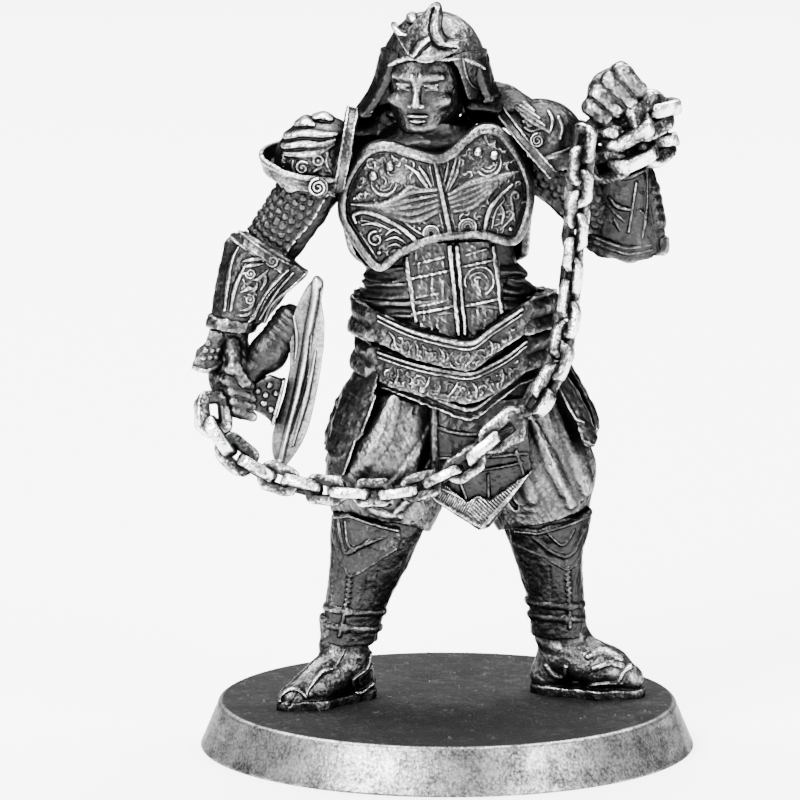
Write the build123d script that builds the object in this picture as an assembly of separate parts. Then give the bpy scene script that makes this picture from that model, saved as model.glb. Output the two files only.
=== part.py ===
"""A cast-metal tabletop warrior, 32 mm scale: an armoured figure with a chain and a sickle on a round base.

Millimetres. The origin is the centre of the base's underside, +Z is up and the figure faces -Y, so +X is
on its left-hand side. The figure is a kit of castings that plug together on pegs and are glued, and the
armour plates are thin castings that sit on the body castings.
"""

from build123d import *
import math
import os

# ---- driving dimensions -------------------------------------------------------------------------------
BASE_RADIUS = 12.5
BASE_TOP_RADIUS = 11.6
BASE_HEIGHT = 2.3
BASE_EDGE_ROUND = 0.2

PLATE = 0.5          # thickness of an armour plate
STRAP = 0.28         # how far a strap or band stands proud
PEG_RADIUS = 0.55
PEG_LENGTH = 1.4
REACH = 8.0          # half depth of the cutters that trim a plate to its outline

# Chain: the wire's thickness, the spacing of links, and the bend radius and straight length of a link.
WIRE = 0.48
LINK_PITCH = 1.13
LINK_PLAY = 0.08
LINK_BEND = 0.53
LINK_STRAIGHT = LINK_PITCH + WIRE + LINK_PLAY - 2 * LINK_BEND

# Places of the pose, (x, y, z). "right" and "left" are the figure's own sides.
RIGHT_ELBOW = (-9.0, 0.6, 25.3)
RIGHT_WRIST = (-10.9, -0.7, 21.3)
RIGHT_FIST = (-10.5, -1.4, 19.3)
LEFT_ELBOW = (9.3, 1.6, 26.0)
LEFT_WRIST = (8.9, 0.1, 30.2)
LEFT_FIST = (8.3, -0.7, 32.9)
HEAD = (-1.0, -0.3, 33.4)
NECK = (-0.8, 0.1, 31.0)


# ---- shapes -------------------------------------------------------------------------------------------
def between(a, b, share):
    """The point that is share of the way from a to b."""
    return tuple(p + (q - p) * share for p, q in zip(a, b))


def station(centre, tangent, half_width, half_depth):
    """An ellipse across a limb; its width lies along X where the limb is upright."""
    across = Vector(0, 1, 0).cross(tangent)
    return Plane(origin=centre, x_dir=across, z_dir=tangent) * Ellipse(half_width, half_depth)


def limb(*stations):
    """A closed loft through ellipses, each given as (centre, half width, half depth)."""
    centres = [Vector(*s[0]) for s in stations]
    last = len(stations) - 1
    rings = []
    for i, (_, half_width, half_depth) in enumerate(stations):
        tangent = (centres[min(i + 1, last)] - centres[max(i - 1, 0)]).normalized()
        rings.append(station(centres[i], tangent, half_width, half_depth))
    return loft(rings)


def blob(centre, x, y, z, turn=(0, 0, 0)):
    """An ellipsoid with half axes x, y and z."""
    return Location(centre, turn) * scale(Sphere(1), by=(x, y, z))


def rod(a, b, radius, end_radius=None):
    """A round rod from a to b, tapered if end_radius is given."""
    a, b = Vector(*a), Vector(*b)
    plane = Plane(origin=a, z_dir=(b - a).normalized())
    length = (b - a).length
    align = (Align.CENTER, Align.CENTER, Align.MIN)
    if end_radius is None:
        return plane * Cylinder(radius, length, align=align)
    return plane * Cone(radius, end_radius, length, align=align)


def stencil(points, low=-REACH, high=REACH):
    """A prism along Y whose outline is points, given as (x, z)."""
    outline = Polyline(*[(x, 0, z) for x, z in points], close=True)
    return Pos(0, low, 0) * extrude(make_face(outline), amount=high - low, dir=(0, 1, 0))


def grown(stations, by):
    """The same limb with every ellipse by millimetres larger all round."""
    return limb(*[(centre, x + by, y + by) for centre, x, y in stations])


def cylinder_at(x, y, low, high, radius):
    return Pos(x, y, low) * Cylinder(radius, high - low, align=(Align.CENTER, Align.CENTER, Align.MIN))


# ---- the body, as stations that the plates are grown from --------------------------------------------
TORSO = [
    ((0.4, 0.3, 20.6), 4.1, 2.6),
    ((0.1, 0.3, 23.0), 3.95, 2.5),
    ((-0.4, 0.2, 25.2), 3.6, 2.45),
    ((-0.6, 0.1, 27.6), 3.9, 2.65),
    ((-0.7, 0.2, 29.6), 3.65, 2.4),
    ((-0.8, 0.2, 30.9), 2.0, 1.7),
]
PELVIS = [
    ((0.4, 0.3, 20.5), 3.8, 2.6),
    ((0.5, 0.3, 18.8), 4.2, 2.7),
    ((0.55, 0.3, 17.0), 4.1, 2.6),
    ((0.55, 0.3, 15.4), 2.6, 2.1),
]
RIGHT_TROUSER = [
    ((-2.0, 0.2, 17.6), 2.2, 2.3),
    ((-2.8, -0.3, 14.9), 2.9, 2.8),
    ((-3.15, -0.7, 13.0), 2.8, 2.6),
    ((-3.35, -0.9, 11.6), 2.35, 2.2),
]
LEFT_TROUSER = [
    ((3.0, 0.3, 17.6), 2.4, 2.4),
    ((4.15, 0.2, 15.2), 2.95, 2.8),
    ((4.6, 0.1, 13.2), 2.8, 2.6),
    ((4.85, 0.1, 11.6), 2.2, 2.2),
]
RIGHT_SHIN = [
    ((-5.1, -0.4, 4.6), 1.35, 1.45),
    ((-4.65, -0.5, 7.2), 1.5, 1.7),
    ((-4.1, -0.7, 9.2), 1.85, 1.9),
    ((-3.4, -0.9, 11.55), 2.45, 2.15),
]
LEFT_SHIN = [
    ((5.7, 1.2, 4.6), 1.35, 1.45),
    ((5.5, 0.9, 7.2), 1.4, 1.6),
    ((5.2, 0.6, 9.2), 1.65, 1.8),
    ((4.9, 0.1, 11.55), 2.25, 2.1),
]
RIGHT_UPPER_ARM = [
    ((-6.0, 0.3, 29.7), 1.6, 1.7),
    ((-7.4, 0.45, 27.5), 1.5, 1.6),
    ((-8.9, 0.6, 25.4), 1.35, 1.45),
]
RIGHT_FOREARM = [
    ((-9.1, 0.55, 25.2), 1.75, 1.7),
    ((-9.9, 0.1, 23.4), 1.75, 1.65),
    ((-10.9, -0.65, 21.5), 1.05, 1.1),
]
LEFT_UPPER_ARM = [
    ((4.7, 0.8, 29.9), 1.7, 1.7),
    ((6.9, 1.2, 27.8), 1.6, 1.6),
    ((8.9, 1.5, 26.3), 1.5, 1.5),
]
LEFT_FOREARM = [
    ((9.25, 1.5, 25.3), 1.95, 1.8),
    ((9.15, 1.1, 27.3), 1.7, 1.6),
    ((8.95, 0.35, 29.7), 1.1, 1.1),
]

parts = {}


# ---- base and legs ------------------------------------------------------------------------------------
def make_base():
    disc = Cone(BASE_RADIUS, BASE_TOP_RADIUS, BASE_HEIGHT, align=(Align.CENTER, Align.CENTER, Align.MIN))
    return fillet(disc.edges().sort_by(Axis.Z)[-1], BASE_EDGE_ROUND)


def make_boot(heel, toe, ankle):
    """A boot from heel to toe, flat on the base, with its stub of leg and a peg for the base."""
    sole = BASE_HEIGHT
    ball_of_foot = between(heel, toe, 0.72)
    instep = between(heel, toe, 0.35)
    foot = limb(
        ((*heel[:2], sole + 0.75), 0.9, 0.9),
        ((*instep[:2], sole + 0.95), 1.3, 1.15),
        ((*ball_of_foot[:2], sole + 0.6), 1.0, 1.2),
        ((*toe[:2], sole + 0.5), 0.55, 0.7),
    )
    leg = limb(((*instep[:2], sole + 0.4), 1.15, 1.2), (ankle, 1.3, 1.4))
    ground = Pos(0, 0, sole - 5) * Box(60, 60, 10)
    peg = cylinder_at(*instep[:2], sole - PEG_LENGTH, sole + 0.3, PEG_RADIUS)
    return foot + leg - ground + peg


parts["base"] = make_base()
parts["right_boot"] = make_boot((-4.1, 0.4), (-8.5, -3.0), (-5.1, -0.4, 4.6))
parts["left_boot"] = make_boot((5.0, 1.7), (9.6, 0.3), (5.7, 1.2, 4.6))

for side, shin in (("right", RIGHT_SHIN), ("left", LEFT_SHIN)):
    parts[f"{side}_greave"] = limb(*shin)


def ring_on(stations, low, high, proud=STRAP):
    """A band that sits on a limb between two heights."""
    slab = Pos(0, 0, low) * Box(60, 60, high - low, align=(Align.CENTER, Align.CENTER, Align.MIN))
    return (grown(stations, proud) - limb(*stations)) & slab


for side, shin in (("right", RIGHT_SHIN), ("left", LEFT_SHIN)):
    for name, low in (("upper", 7.0), ("lower", 6.1)):
        parts[f"{side}_{name}_ankle_strap"] = ring_on(shin, low, low + 0.55)

KNEE_GUARD = [(-1.9, 1.2), (1.9, 1.2), (1.7, -0.4), (0, -2.4), (-1.7, -0.4)]
for side, shin, x in (("right", RIGHT_SHIN, -3.75), ("left", LEFT_SHIN, 5.0)):
    shield = stencil([(x + px, 10.3 + pz) for px, pz in KNEE_GUARD], high=0)
    parts[f"{side}_knee_guard"] = (grown(shin, PLATE) - limb(*shin)) & shield

parts["right_trouser_leg"] = limb(*RIGHT_TROUSER)
parts["left_trouser_leg"] = limb(*LEFT_TROUSER)
parts["hips"] = limb(*PELVIS)

THIGH_PLATE = [(-1.1, 1.9), (0.9, 2.1), (1.5, -1.5), (-1.3, -1.6)]
for side, trouser, x, z in (("right", RIGHT_TROUSER, -5.1, 16.6), ("left", LEFT_TROUSER, 6.4, 16.5)):
    mirror_x = 1 if side == "right" else -1
    shield = stencil([(x + mirror_x * px, z + pz) for px, pz in THIGH_PLATE])
    parts[f"{side}_thigh_plate"] = (grown(trouser, PLATE + 0.25) - grown(trouser, 0.1)) & shield

# ---- skirt of three overlapping plates, and the cloth flap under it ----------------------------------
SKIRT = [
    ((0.3, 0.3, 23.8), 4.5, 3.0),
    ((0.45, 0.3, 20.8), 4.5, 3.0),
    ((0.5, 0.3, 17.0), 4.9, 3.2),
]
# Each plate's upper edge at the figure's right, at the point of the V and at the figure's left.
SKIRT_EDGES = {"upper": (21.9, 21.0, 23.2), "middle": (20.5, 19.4, 21.8), "lower": (19.0, 18.3, 20.2)}
SKIRT_DEPTH = {"upper": 1.5, "middle": 1.4, "lower": 1.2}
for tier, (name, (right_z, point_z, left_z)) in enumerate(SKIRT_EDGES.items()):
    down = SKIRT_DEPTH[name]
    upper_edge = [(-7.0, right_z + 0.3), (1.1, point_z), (7.0, left_z + 0.6)]
    lower_edge = [(x, z - down) for x, z in reversed(upper_edge)]
    outside = 0.18 * (2 - tier)
    band = grown(SKIRT, outside + PLATE) - grown(SKIRT, outside)
    parts[f"skirt_plate_{name}"] = band & stencil(upper_edge + lower_edge)

FLAP_OUTLINE = [(-0.9, 17.6), (3.9, 18.0), (4.1, 15.1), (2.05, 11.9), (-0.8, 14.0)]
parts["front_flap"] = stencil(FLAP_OUTLINE, -3.55, -3.0)
FLAP_HEM = [(-0.8, 14.0), (0.2, 14.4), (2.0, 13.1), (4.1, 15.1), (2.05, 11.7), (-0.9, 13.4)]
parts["flap_hem"] = stencil(FLAP_HEM, -3.8, -3.55)

# ---- torso --------------------------------------------------------------------------------------------
parts["torso"] = limb(*TORSO)
for name, low in (("lower", 21.75), ("middle", 22.75), ("upper", 23.75)):
    parts[f"waist_wrap_{name}"] = ring_on(TORSO, low, low + 0.85, 0.35)
BELLY_OUTLINE = [(-2.5, 24.6), (2.7, 25.3), (3.1, 22.2), (1.1, 21.2), (-1.9, 21.6)]
parts["belly_panel"] = (grown(TORSO, 0.8) - grown(TORSO, 0.4)) & stencil(BELLY_OUTLINE, high=0)
BREAST_OUTLINE = [
    (-3.4, 24.7), (-1.2, 26.0), (0.8, 26.5), (3.1, 25.9), (4.3, 26.8), (4.5, 28.3), (3.6, 30.2),
    (2.0, 31.1), (-0.9, 30.0), (-3.0, 30.5), (-4.7, 29.2), (-5.3, 27.2),
]
parts["breastplate"] = (grown(TORSO, 0.4 + PLATE) - grown(TORSO, 0.4)) & stencil(BREAST_OUTLINE, high=0.2)
BACK_OUTLINE = [(-4.6, 24.6), (4.2, 24.9), (4.6, 28.3), (2.6, 30.6), (-3.6, 30.6), (-5.4, 28.0)]
parts["backplate"] = (grown(TORSO, 0.4 + PLATE) - grown(TORSO, 0.4)) & stencil(BACK_OUTLINE, low=0.25)
parts["collar"] = limb(((-0.8, 0.2, 30.7), 2.5, 2.1), ((-0.8, 0.1, 31.5), 2.0, 1.8))

# ---- head and helmet ----------------------------------------------------------------------------------
HEAD_X = HEAD[0]
NECK_PEG = rod((-0.8, 0.1, 29.6), (-0.9, 0.0, 32.0), 0.7)
parts["head"] = blob(HEAD, 1.65, 1.95, 2.15) + rod(NECK, (-0.9, 0.0, 32.6), 1.35) + NECK_PEG
bowl = blob((HEAD_X + 0.25, 0.1, 34.3), 2.35, 2.6, 2.65)
brow_cut = Pos(HEAD_X, 0, 32.2) * Box(12, 12, 4, align=(Align.CENTER, Align.CENTER, Align.CENTER))
parts["helmet_bowl"] = bowl - brow_cut - blob(HEAD, 1.75, 2.05, 2.25)
BROW_OUTLINE = [
    (-3.3, 35.6), (-1.9, 34.2), (0.6, 34.6), (0.3, 35.8), (-0.3, 37.6), (-0.9, 37.6), (-1.6, 36.4),
]
parts["brow_crest"] = stencil(BROW_OUTLINE, -3.3, -2.0)
GUARD = [((-0.8, 0.2, 34.4), 2.3, 2.5), ((-0.75, 0.5, 33.0), 2.9, 2.9), ((-0.85, 0.9, 31.6), 3.85, 3.2)]
face_opening = Pos(HEAD_X, -3.6, 33) * Box(12, 6.4, 6)
parts["neck_guard"] = limb(*GUARD) - grown(GUARD, -PLATE) - face_opening
CHEEK_OUTLINE = [(0.0, 2.0), (0.9, 2.0), (0.95, 0.0), (0.3, -0.6)]
parts["left_cheek_guard"] = stencil([(0.35 + x, 32.2 + z) for x, z in CHEEK_OUTLINE], -2.0, -1.3)
parts["right_cheek_guard"] = stencil([(-2.5 - x * 0.7, 32.2 + z) for x, z in CHEEK_OUTLINE], -1.6, -1.0)


# ---- arms ---------------------------------------------------------------------------------------------
def make_pauldron(centre, size, tilt):
    """A domed shoulder plate, open underneath."""
    x, y, z = size
    dome = blob((0, 0, 0), x, y, z) - blob((0, 0, 0), x - PLATE, y - PLATE, z - PLATE)
    under = Pos(0, 0, -5 - 0.15 * z) * Box(20, 20, 10)
    return Location(centre, tilt) * (dome - under)


parts["right_upper_arm"] = limb(*RIGHT_UPPER_ARM)
parts["left_upper_arm"] = limb(*LEFT_UPPER_ARM)
parts["right_pauldron"] = make_pauldron((-6.4, 0.35, 29.2), (2.4, 2.4, 2.4), (0, -30, 0))
parts["left_pauldron"] = make_pauldron((4.9, 0.9, 30.3), (2.3, 2.3, 2.2), (0, 22, 0))
parts["right_pauldron_boss"] = rod((-6.5, -2.3, 28.4), (-6.5, -2.75, 28.3), 0.62)
parts["left_pauldron_boss"] = rod((4.6, -1.55, 30.3), (4.6, -2.0, 30.2), 0.5)

parts["right_vambrace"] = limb(*RIGHT_FOREARM)
parts["left_vambrace"] = limb(*LEFT_FOREARM)


def cross_band(a, b, share, radius, width):
    """A ring round the limb that runs from a to b, centred share of the way along."""
    a, b = Vector(*a), Vector(*b)
    along = (b - a).normalized()
    middle = a + (b - a) * share
    return rod(tuple(middle - along * width / 2), tuple(middle + along * width / 2), radius)


parts["right_elbow_band"] = cross_band(RIGHT_ELBOW, RIGHT_WRIST, 0.03, 2.1, 0.7)
parts["right_wrist_band"] = cross_band(RIGHT_ELBOW, RIGHT_WRIST, 0.96, 1.45, 0.6)
parts["right_hand"] = blob(RIGHT_FIST, 1.15, 1.25, 1.35) + rod(RIGHT_WRIST, RIGHT_FIST, 0.85)
parts["right_cuff"] = stencil([(-11.6, 21.0), (-10.9, 20.9), (-11.3, 19.4), (-12.6, 19.2)], -1.7, -0.2)
parts["left_hem_band"] = cross_band(LEFT_ELBOW, LEFT_WRIST, -0.1, 2.15, 0.5)
parts["left_elbow_toggle"] = rod((10.9, 0.4, 25.3), (10.7, 0.3, 27.4), 0.55)
parts["left_wrist_band"] = cross_band(LEFT_ELBOW, LEFT_WRIST, 1.0, 1.35, 0.6)
parts["left_hand"] = blob(LEFT_FIST, 1.5, 1.35, 1.45, (0, 20, 0)) + rod(LEFT_WRIST, LEFT_FIST, 0.95)

# ---- sickle -------------------------------------------------------------------------------------------
HANDLE_BUTT = (-10.9, -2.0, 18.1)
HANDLE_HEAD = (-7.7, -0.8, 21.9)
parts["sickle_handle"] = rod(HANDLE_BUTT, HANDLE_HEAD, 0.6, 0.9)
GUARD_OUTLINE = [(-10.4, 17.7), (-9.0, 16.3), (-8.35, 18.0), (-9.3, 18.9)]
parts["sickle_guard"] = stencil(GUARD_OUTLINE, -2.1, -1.7)
BLADE_OUTLINE = [
    (-6.7, 23.75), (-6.5, 21.4), (-6.6, 19.0), (-7.25, 16.2), (-8.7, 14.6), (-9.0, 16.0), (-8.4, 18.4),
    (-8.1, 20.8), (-7.2, 23.0),
]
parts["sickle_blade"] = stencil(BLADE_OUTLINE, -1.75, -1.3)


# ---- chain --------------------------------------------------------------------------------------------
def make_link():
    """One oval link lying in the XZ plane with its length along Z."""
    radius = WIRE / 2
    align = (Align.CENTER, Align.CENTER, Align.CENTER)
    side = Cylinder(radius, LINK_STRAIGHT, align=align)
    ring = Rotation(90, 0, 0) * Torus(LINK_BEND, radius)
    half = Box(4, 4, 4, align=(Align.CENTER, Align.CENTER, Align.MIN))
    bend = ring & half
    top = Pos(0, 0, LINK_STRAIGHT / 2) * bend
    bottom = Rotation(180, 0, 0) * top
    return Pos(LINK_BEND, 0, 0) * side + Pos(-LINK_BEND, 0, 0) * side + top + bottom


LINK = make_link()


def chain_along(points, first_turn=45.0):
    """Links spaced evenly along a smooth curve, each a quarter turn from the last."""
    route = Spline(*points)
    count = round(route.length / LINK_PITCH)
    links = []
    for i in range(count):
        share = (i + 0.5) / count
        along = route.tangent_at(share)
        sideways = along.cross(Vector(0, 1, 0)).normalized()
        plane = Plane(origin=route.position_at(share), x_dir=sideways, z_dir=along)
        turn = first_turn + 90 * (i % 2)
        links.append(plane * Rotation(0, 0, turn) * LINK)
    return Compound(children=[Solid(link.solid().wrapped) for link in links])


DROP = [
    (6.75, -2.2, 31.4), (6.45, -2.25, 28.0), (6.2, -2.4, 25.0), (5.85, -2.9, 22.0), (5.2, -3.8, 19.6),
    (4.05, -4.45, 17.8),
]
SWEEP = [
    (3.2, -4.6, 17.0), (1.0, -4.75, 15.2), (-1.0, -4.5, 14.1), (-3.0, -4.35, 13.65), (-5.0, -4.1, 13.6),
    (-7.4, -3.7, 13.9), (-9.8, -3.3, 14.8), (-11.4, -2.9, 16.3), (-11.95, -2.5, 17.9),
]
parts["chain_drop"] = chain_along(DROP)
parts["chain_sweep"] = chain_along(SWEEP)


def wrist_turn(height, radius, tilt, start, stop, steps=8):
    """Points of one turn round the left wrist, from angle start to stop in degrees."""
    points = []
    for i in range(steps + 1):
        angle = math.radians(start + (stop - start) * i / steps)
        x, y = radius * math.cos(angle), radius * math.sin(angle)
        points.append((LEFT_WRIST[0] + 0.15 + x, LEFT_WRIST[1] + y, height + tilt * x))
    return points


parts["chain_wrist_upper"] = chain_along(wrist_turn(31.3, 2.05, 0.3, -140, 120))
parts["chain_wrist_lower"] = chain_along(wrist_turn(30.1, 2.05, 0.18, -130, 90))

# ---- fits: an outer piece is cut back to the piece that it sits on ------------------------------------
CUT_BY = {
    "right_greave": ["right_boot"],
    "left_greave": ["left_boot"],
    "right_trouser_leg": ["right_greave", "right_knee_guard"],
    "left_trouser_leg": ["left_greave", "left_knee_guard"],
    "hips": ["right_trouser_leg", "left_trouser_leg"],
    "torso": ["hips", "head"],
    "collar": ["torso", "head"],
    "right_upper_arm": ["torso", "breastplate", "backplate"],
    "left_upper_arm": ["torso", "breastplate", "backplate"],
    "right_pauldron": ["right_upper_arm", "breastplate", "backplate", "torso"],
    "left_pauldron": ["left_upper_arm", "breastplate", "backplate", "torso"],
    "right_pauldron_boss": ["right_pauldron"],
    "left_pauldron_boss": ["left_pauldron"],
    "right_vambrace": ["right_upper_arm"],
    "left_vambrace": ["left_upper_arm"],
    "right_elbow_band": ["right_upper_arm", "right_vambrace"],
    "right_hand": ["right_vambrace", "sickle_handle"],
    "right_wrist_band": ["right_vambrace", "right_hand"],
    "right_cuff": ["right_hand", "right_wrist_band", "right_vambrace"],
    "left_hem_band": ["left_vambrace", "left_upper_arm"],
    "left_elbow_toggle": ["left_vambrace", "left_hem_band"],
    "left_hand": ["left_vambrace"],
    "left_wrist_band": ["left_vambrace", "left_hand"],
    "sickle_guard": ["sickle_handle", "right_hand"],
    "sickle_blade": ["sickle_guard", "sickle_handle"],
    "neck_guard": ["helmet_bowl", "head", "collar", "torso", "breastplate"],
    "left_cheek_guard": ["head", "helmet_bowl", "neck_guard"],
    "right_cheek_guard": ["head", "helmet_bowl", "neck_guard"],
    "brow_crest": ["helmet_bowl", "head"],
    "right_thigh_plate": ["right_trouser_leg", "hips", "skirt_plate_lower", "skirt_plate_middle"],
    "left_thigh_plate": ["left_trouser_leg", "hips", "skirt_plate_lower", "skirt_plate_middle"],
    "skirt_plate_lower": ["right_trouser_leg", "left_trouser_leg", "hips"],
    "skirt_plate_middle": ["skirt_plate_lower", "right_trouser_leg", "left_trouser_leg"],
    "skirt_plate_upper": ["skirt_plate_middle", "waist_wrap_lower", "belly_panel"],
    "belly_panel": ["waist_wrap_lower", "waist_wrap_middle", "waist_wrap_upper", "breastplate"],
    "front_flap": ["hips", "skirt_plate_lower", "right_trouser_leg", "left_trouser_leg"],
    "flap_hem": ["front_flap"],
    "base": ["right_boot", "left_boot"],
}


def main_solids(shape, keep_above=0.02):
    """The shape's solids without the slivers that a cut leaves."""
    solids = [s for s in shape.solids() if s.volume > keep_above]
    return Compound(children=solids) if len(solids) > 1 else solids[0]


if __name__ == "__main__":
    os.makedirs("parts", exist_ok=True)
    for name, cutters in CUT_BY.items():
        for cutter in cutters:
            parts[name] -= parts[cutter]
    for name, shape in parts.items():
        export_step(main_solids(shape), f"parts/{name}.step")
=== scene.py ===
"""The looks of the cast-metal warrior.

Every piece is sculpted in millimetres as a signed distance on a fine grid, then turned into a mesh. Raised
detail is drawn with strokes on flat height maps and taken off the distance. Two values are kept on each
mesh point, how sharply and how broadly the metal stands proud there, and the material burnishes what
stands proud and leaves a dark wash in what lies deep. It also paints shade into the colour: an occlusion
term darkens places where other parts crowd close, and each piece is made lighter or darker, partly as
painted shade.
"""

import math
from concurrent.futures import ThreadPoolExecutor

import bpy
import numpy as np
import openvdb
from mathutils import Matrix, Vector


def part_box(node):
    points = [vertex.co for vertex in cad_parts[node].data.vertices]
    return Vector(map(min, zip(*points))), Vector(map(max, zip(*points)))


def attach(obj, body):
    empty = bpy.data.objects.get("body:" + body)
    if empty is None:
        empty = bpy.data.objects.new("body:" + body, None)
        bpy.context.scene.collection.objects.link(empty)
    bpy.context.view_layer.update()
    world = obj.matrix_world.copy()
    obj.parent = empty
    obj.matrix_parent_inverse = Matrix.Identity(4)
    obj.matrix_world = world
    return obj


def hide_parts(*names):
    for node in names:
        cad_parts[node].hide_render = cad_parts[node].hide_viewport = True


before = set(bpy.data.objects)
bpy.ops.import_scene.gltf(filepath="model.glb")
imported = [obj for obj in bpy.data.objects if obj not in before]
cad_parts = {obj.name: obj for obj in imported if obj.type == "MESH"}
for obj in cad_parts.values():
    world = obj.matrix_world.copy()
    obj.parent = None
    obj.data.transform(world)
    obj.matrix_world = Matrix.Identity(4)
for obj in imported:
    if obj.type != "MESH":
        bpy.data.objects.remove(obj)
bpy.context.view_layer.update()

MM = 0.001
F32 = np.float32
COARSER = 1.06     # how much larger the voxels are than each piece asks for
SHARP_REACH = 0.07                        # how far round a point its sharp edges are felt, in millimetres
BROAD_REACH = 0.26                        # the same for its broad swells


# ---- curves on a flat patch ---------------------------------------------------------------------------
def curve(points, per_span=8, closed=False):
    """A smooth line through the points."""
    pts = np.array(points, float)
    if closed:
        ends = np.vstack([pts[-1:], pts, pts[:2]])
    else:
        ends = np.vstack([2 * pts[0] - pts[1], pts, 2 * pts[-1] - pts[-2]])
    out = []
    for a, b, c, d in zip(ends, ends[1:], ends[2:], ends[3:]):
        for t in np.arange(per_span) / per_span:
            out.append(0.5 * (2 * b + (c - a) * t + (2 * a - 5 * b + 4 * c - d) * t**2
                              + (3 * b - a - 3 * c + d) * t**3))
    if not closed:
        out.append(pts[-1])
    return np.array(out)


def arc(centre, radius, start, stop, count=20):
    """Points round a circle, from start to stop in degrees."""
    angles = np.radians(np.linspace(start, stop, count))
    return np.stack([centre[0] + radius * np.cos(angles), centre[1] + radius * np.sin(angles)], 1)


def spiral(centre, outer, turns=1.4, start=0, inner=0.06, hand=1):
    """Points that wind in from the outer radius."""
    t = np.linspace(0, 1, int(16 * turns) + 4)
    angles = np.radians(start) + hand * 2 * math.pi * turns * t
    radius = outer + (inner - outer) * t
    return np.stack([centre[0] + radius * np.cos(angles), centre[1] + radius * np.sin(angles)], 1)


def line_distance(u, v, points):
    """Distance to a polyline, and how far along it the nearest point is, from 0 to 1."""
    points = np.asarray(points, float)
    lengths = np.linalg.norm(np.diff(points, axis=0), axis=1)
    total = max(lengths.sum(), 1e-9)
    best = None
    before = 0.0
    for (au, av), (bu, bv), length in zip(points, points[1:], lengths):
        du, dv = bu - au, bv - av
        h = np.clip(((u - au) * du + (v - av) * dv) / max(length**2, 1e-9), 0, 1)
        d = np.hypot(u - au - du * h, v - av - dv * h)
        s = (before + h * length) / total
        if best is None:
            best, along = d, s
        else:
            closer = d < best
            best, along = np.where(closer, d, best), np.where(closer, s, along)
        before += length
    return best, along


def outline_distance(u, v, points):
    """Signed distance to a closed outline, negative inside."""
    points = np.asarray(points, float)
    edge, _ = line_distance(u, v, np.vstack([points, points[:1]]))
    inside = np.zeros(np.broadcast(u, v).shape, bool)
    for (au, av), (bu, bv) in zip(points, np.roll(points, -1, axis=0)):
        crosses = (v < av) != (v < bv)
        with np.errstate(divide="ignore", invalid="ignore"):
            inside ^= crosses & (u < (bu - au) * (v - av) / ((bv - av) or 1e-9) + au)
    return np.where(inside, -edge, edge)


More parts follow.
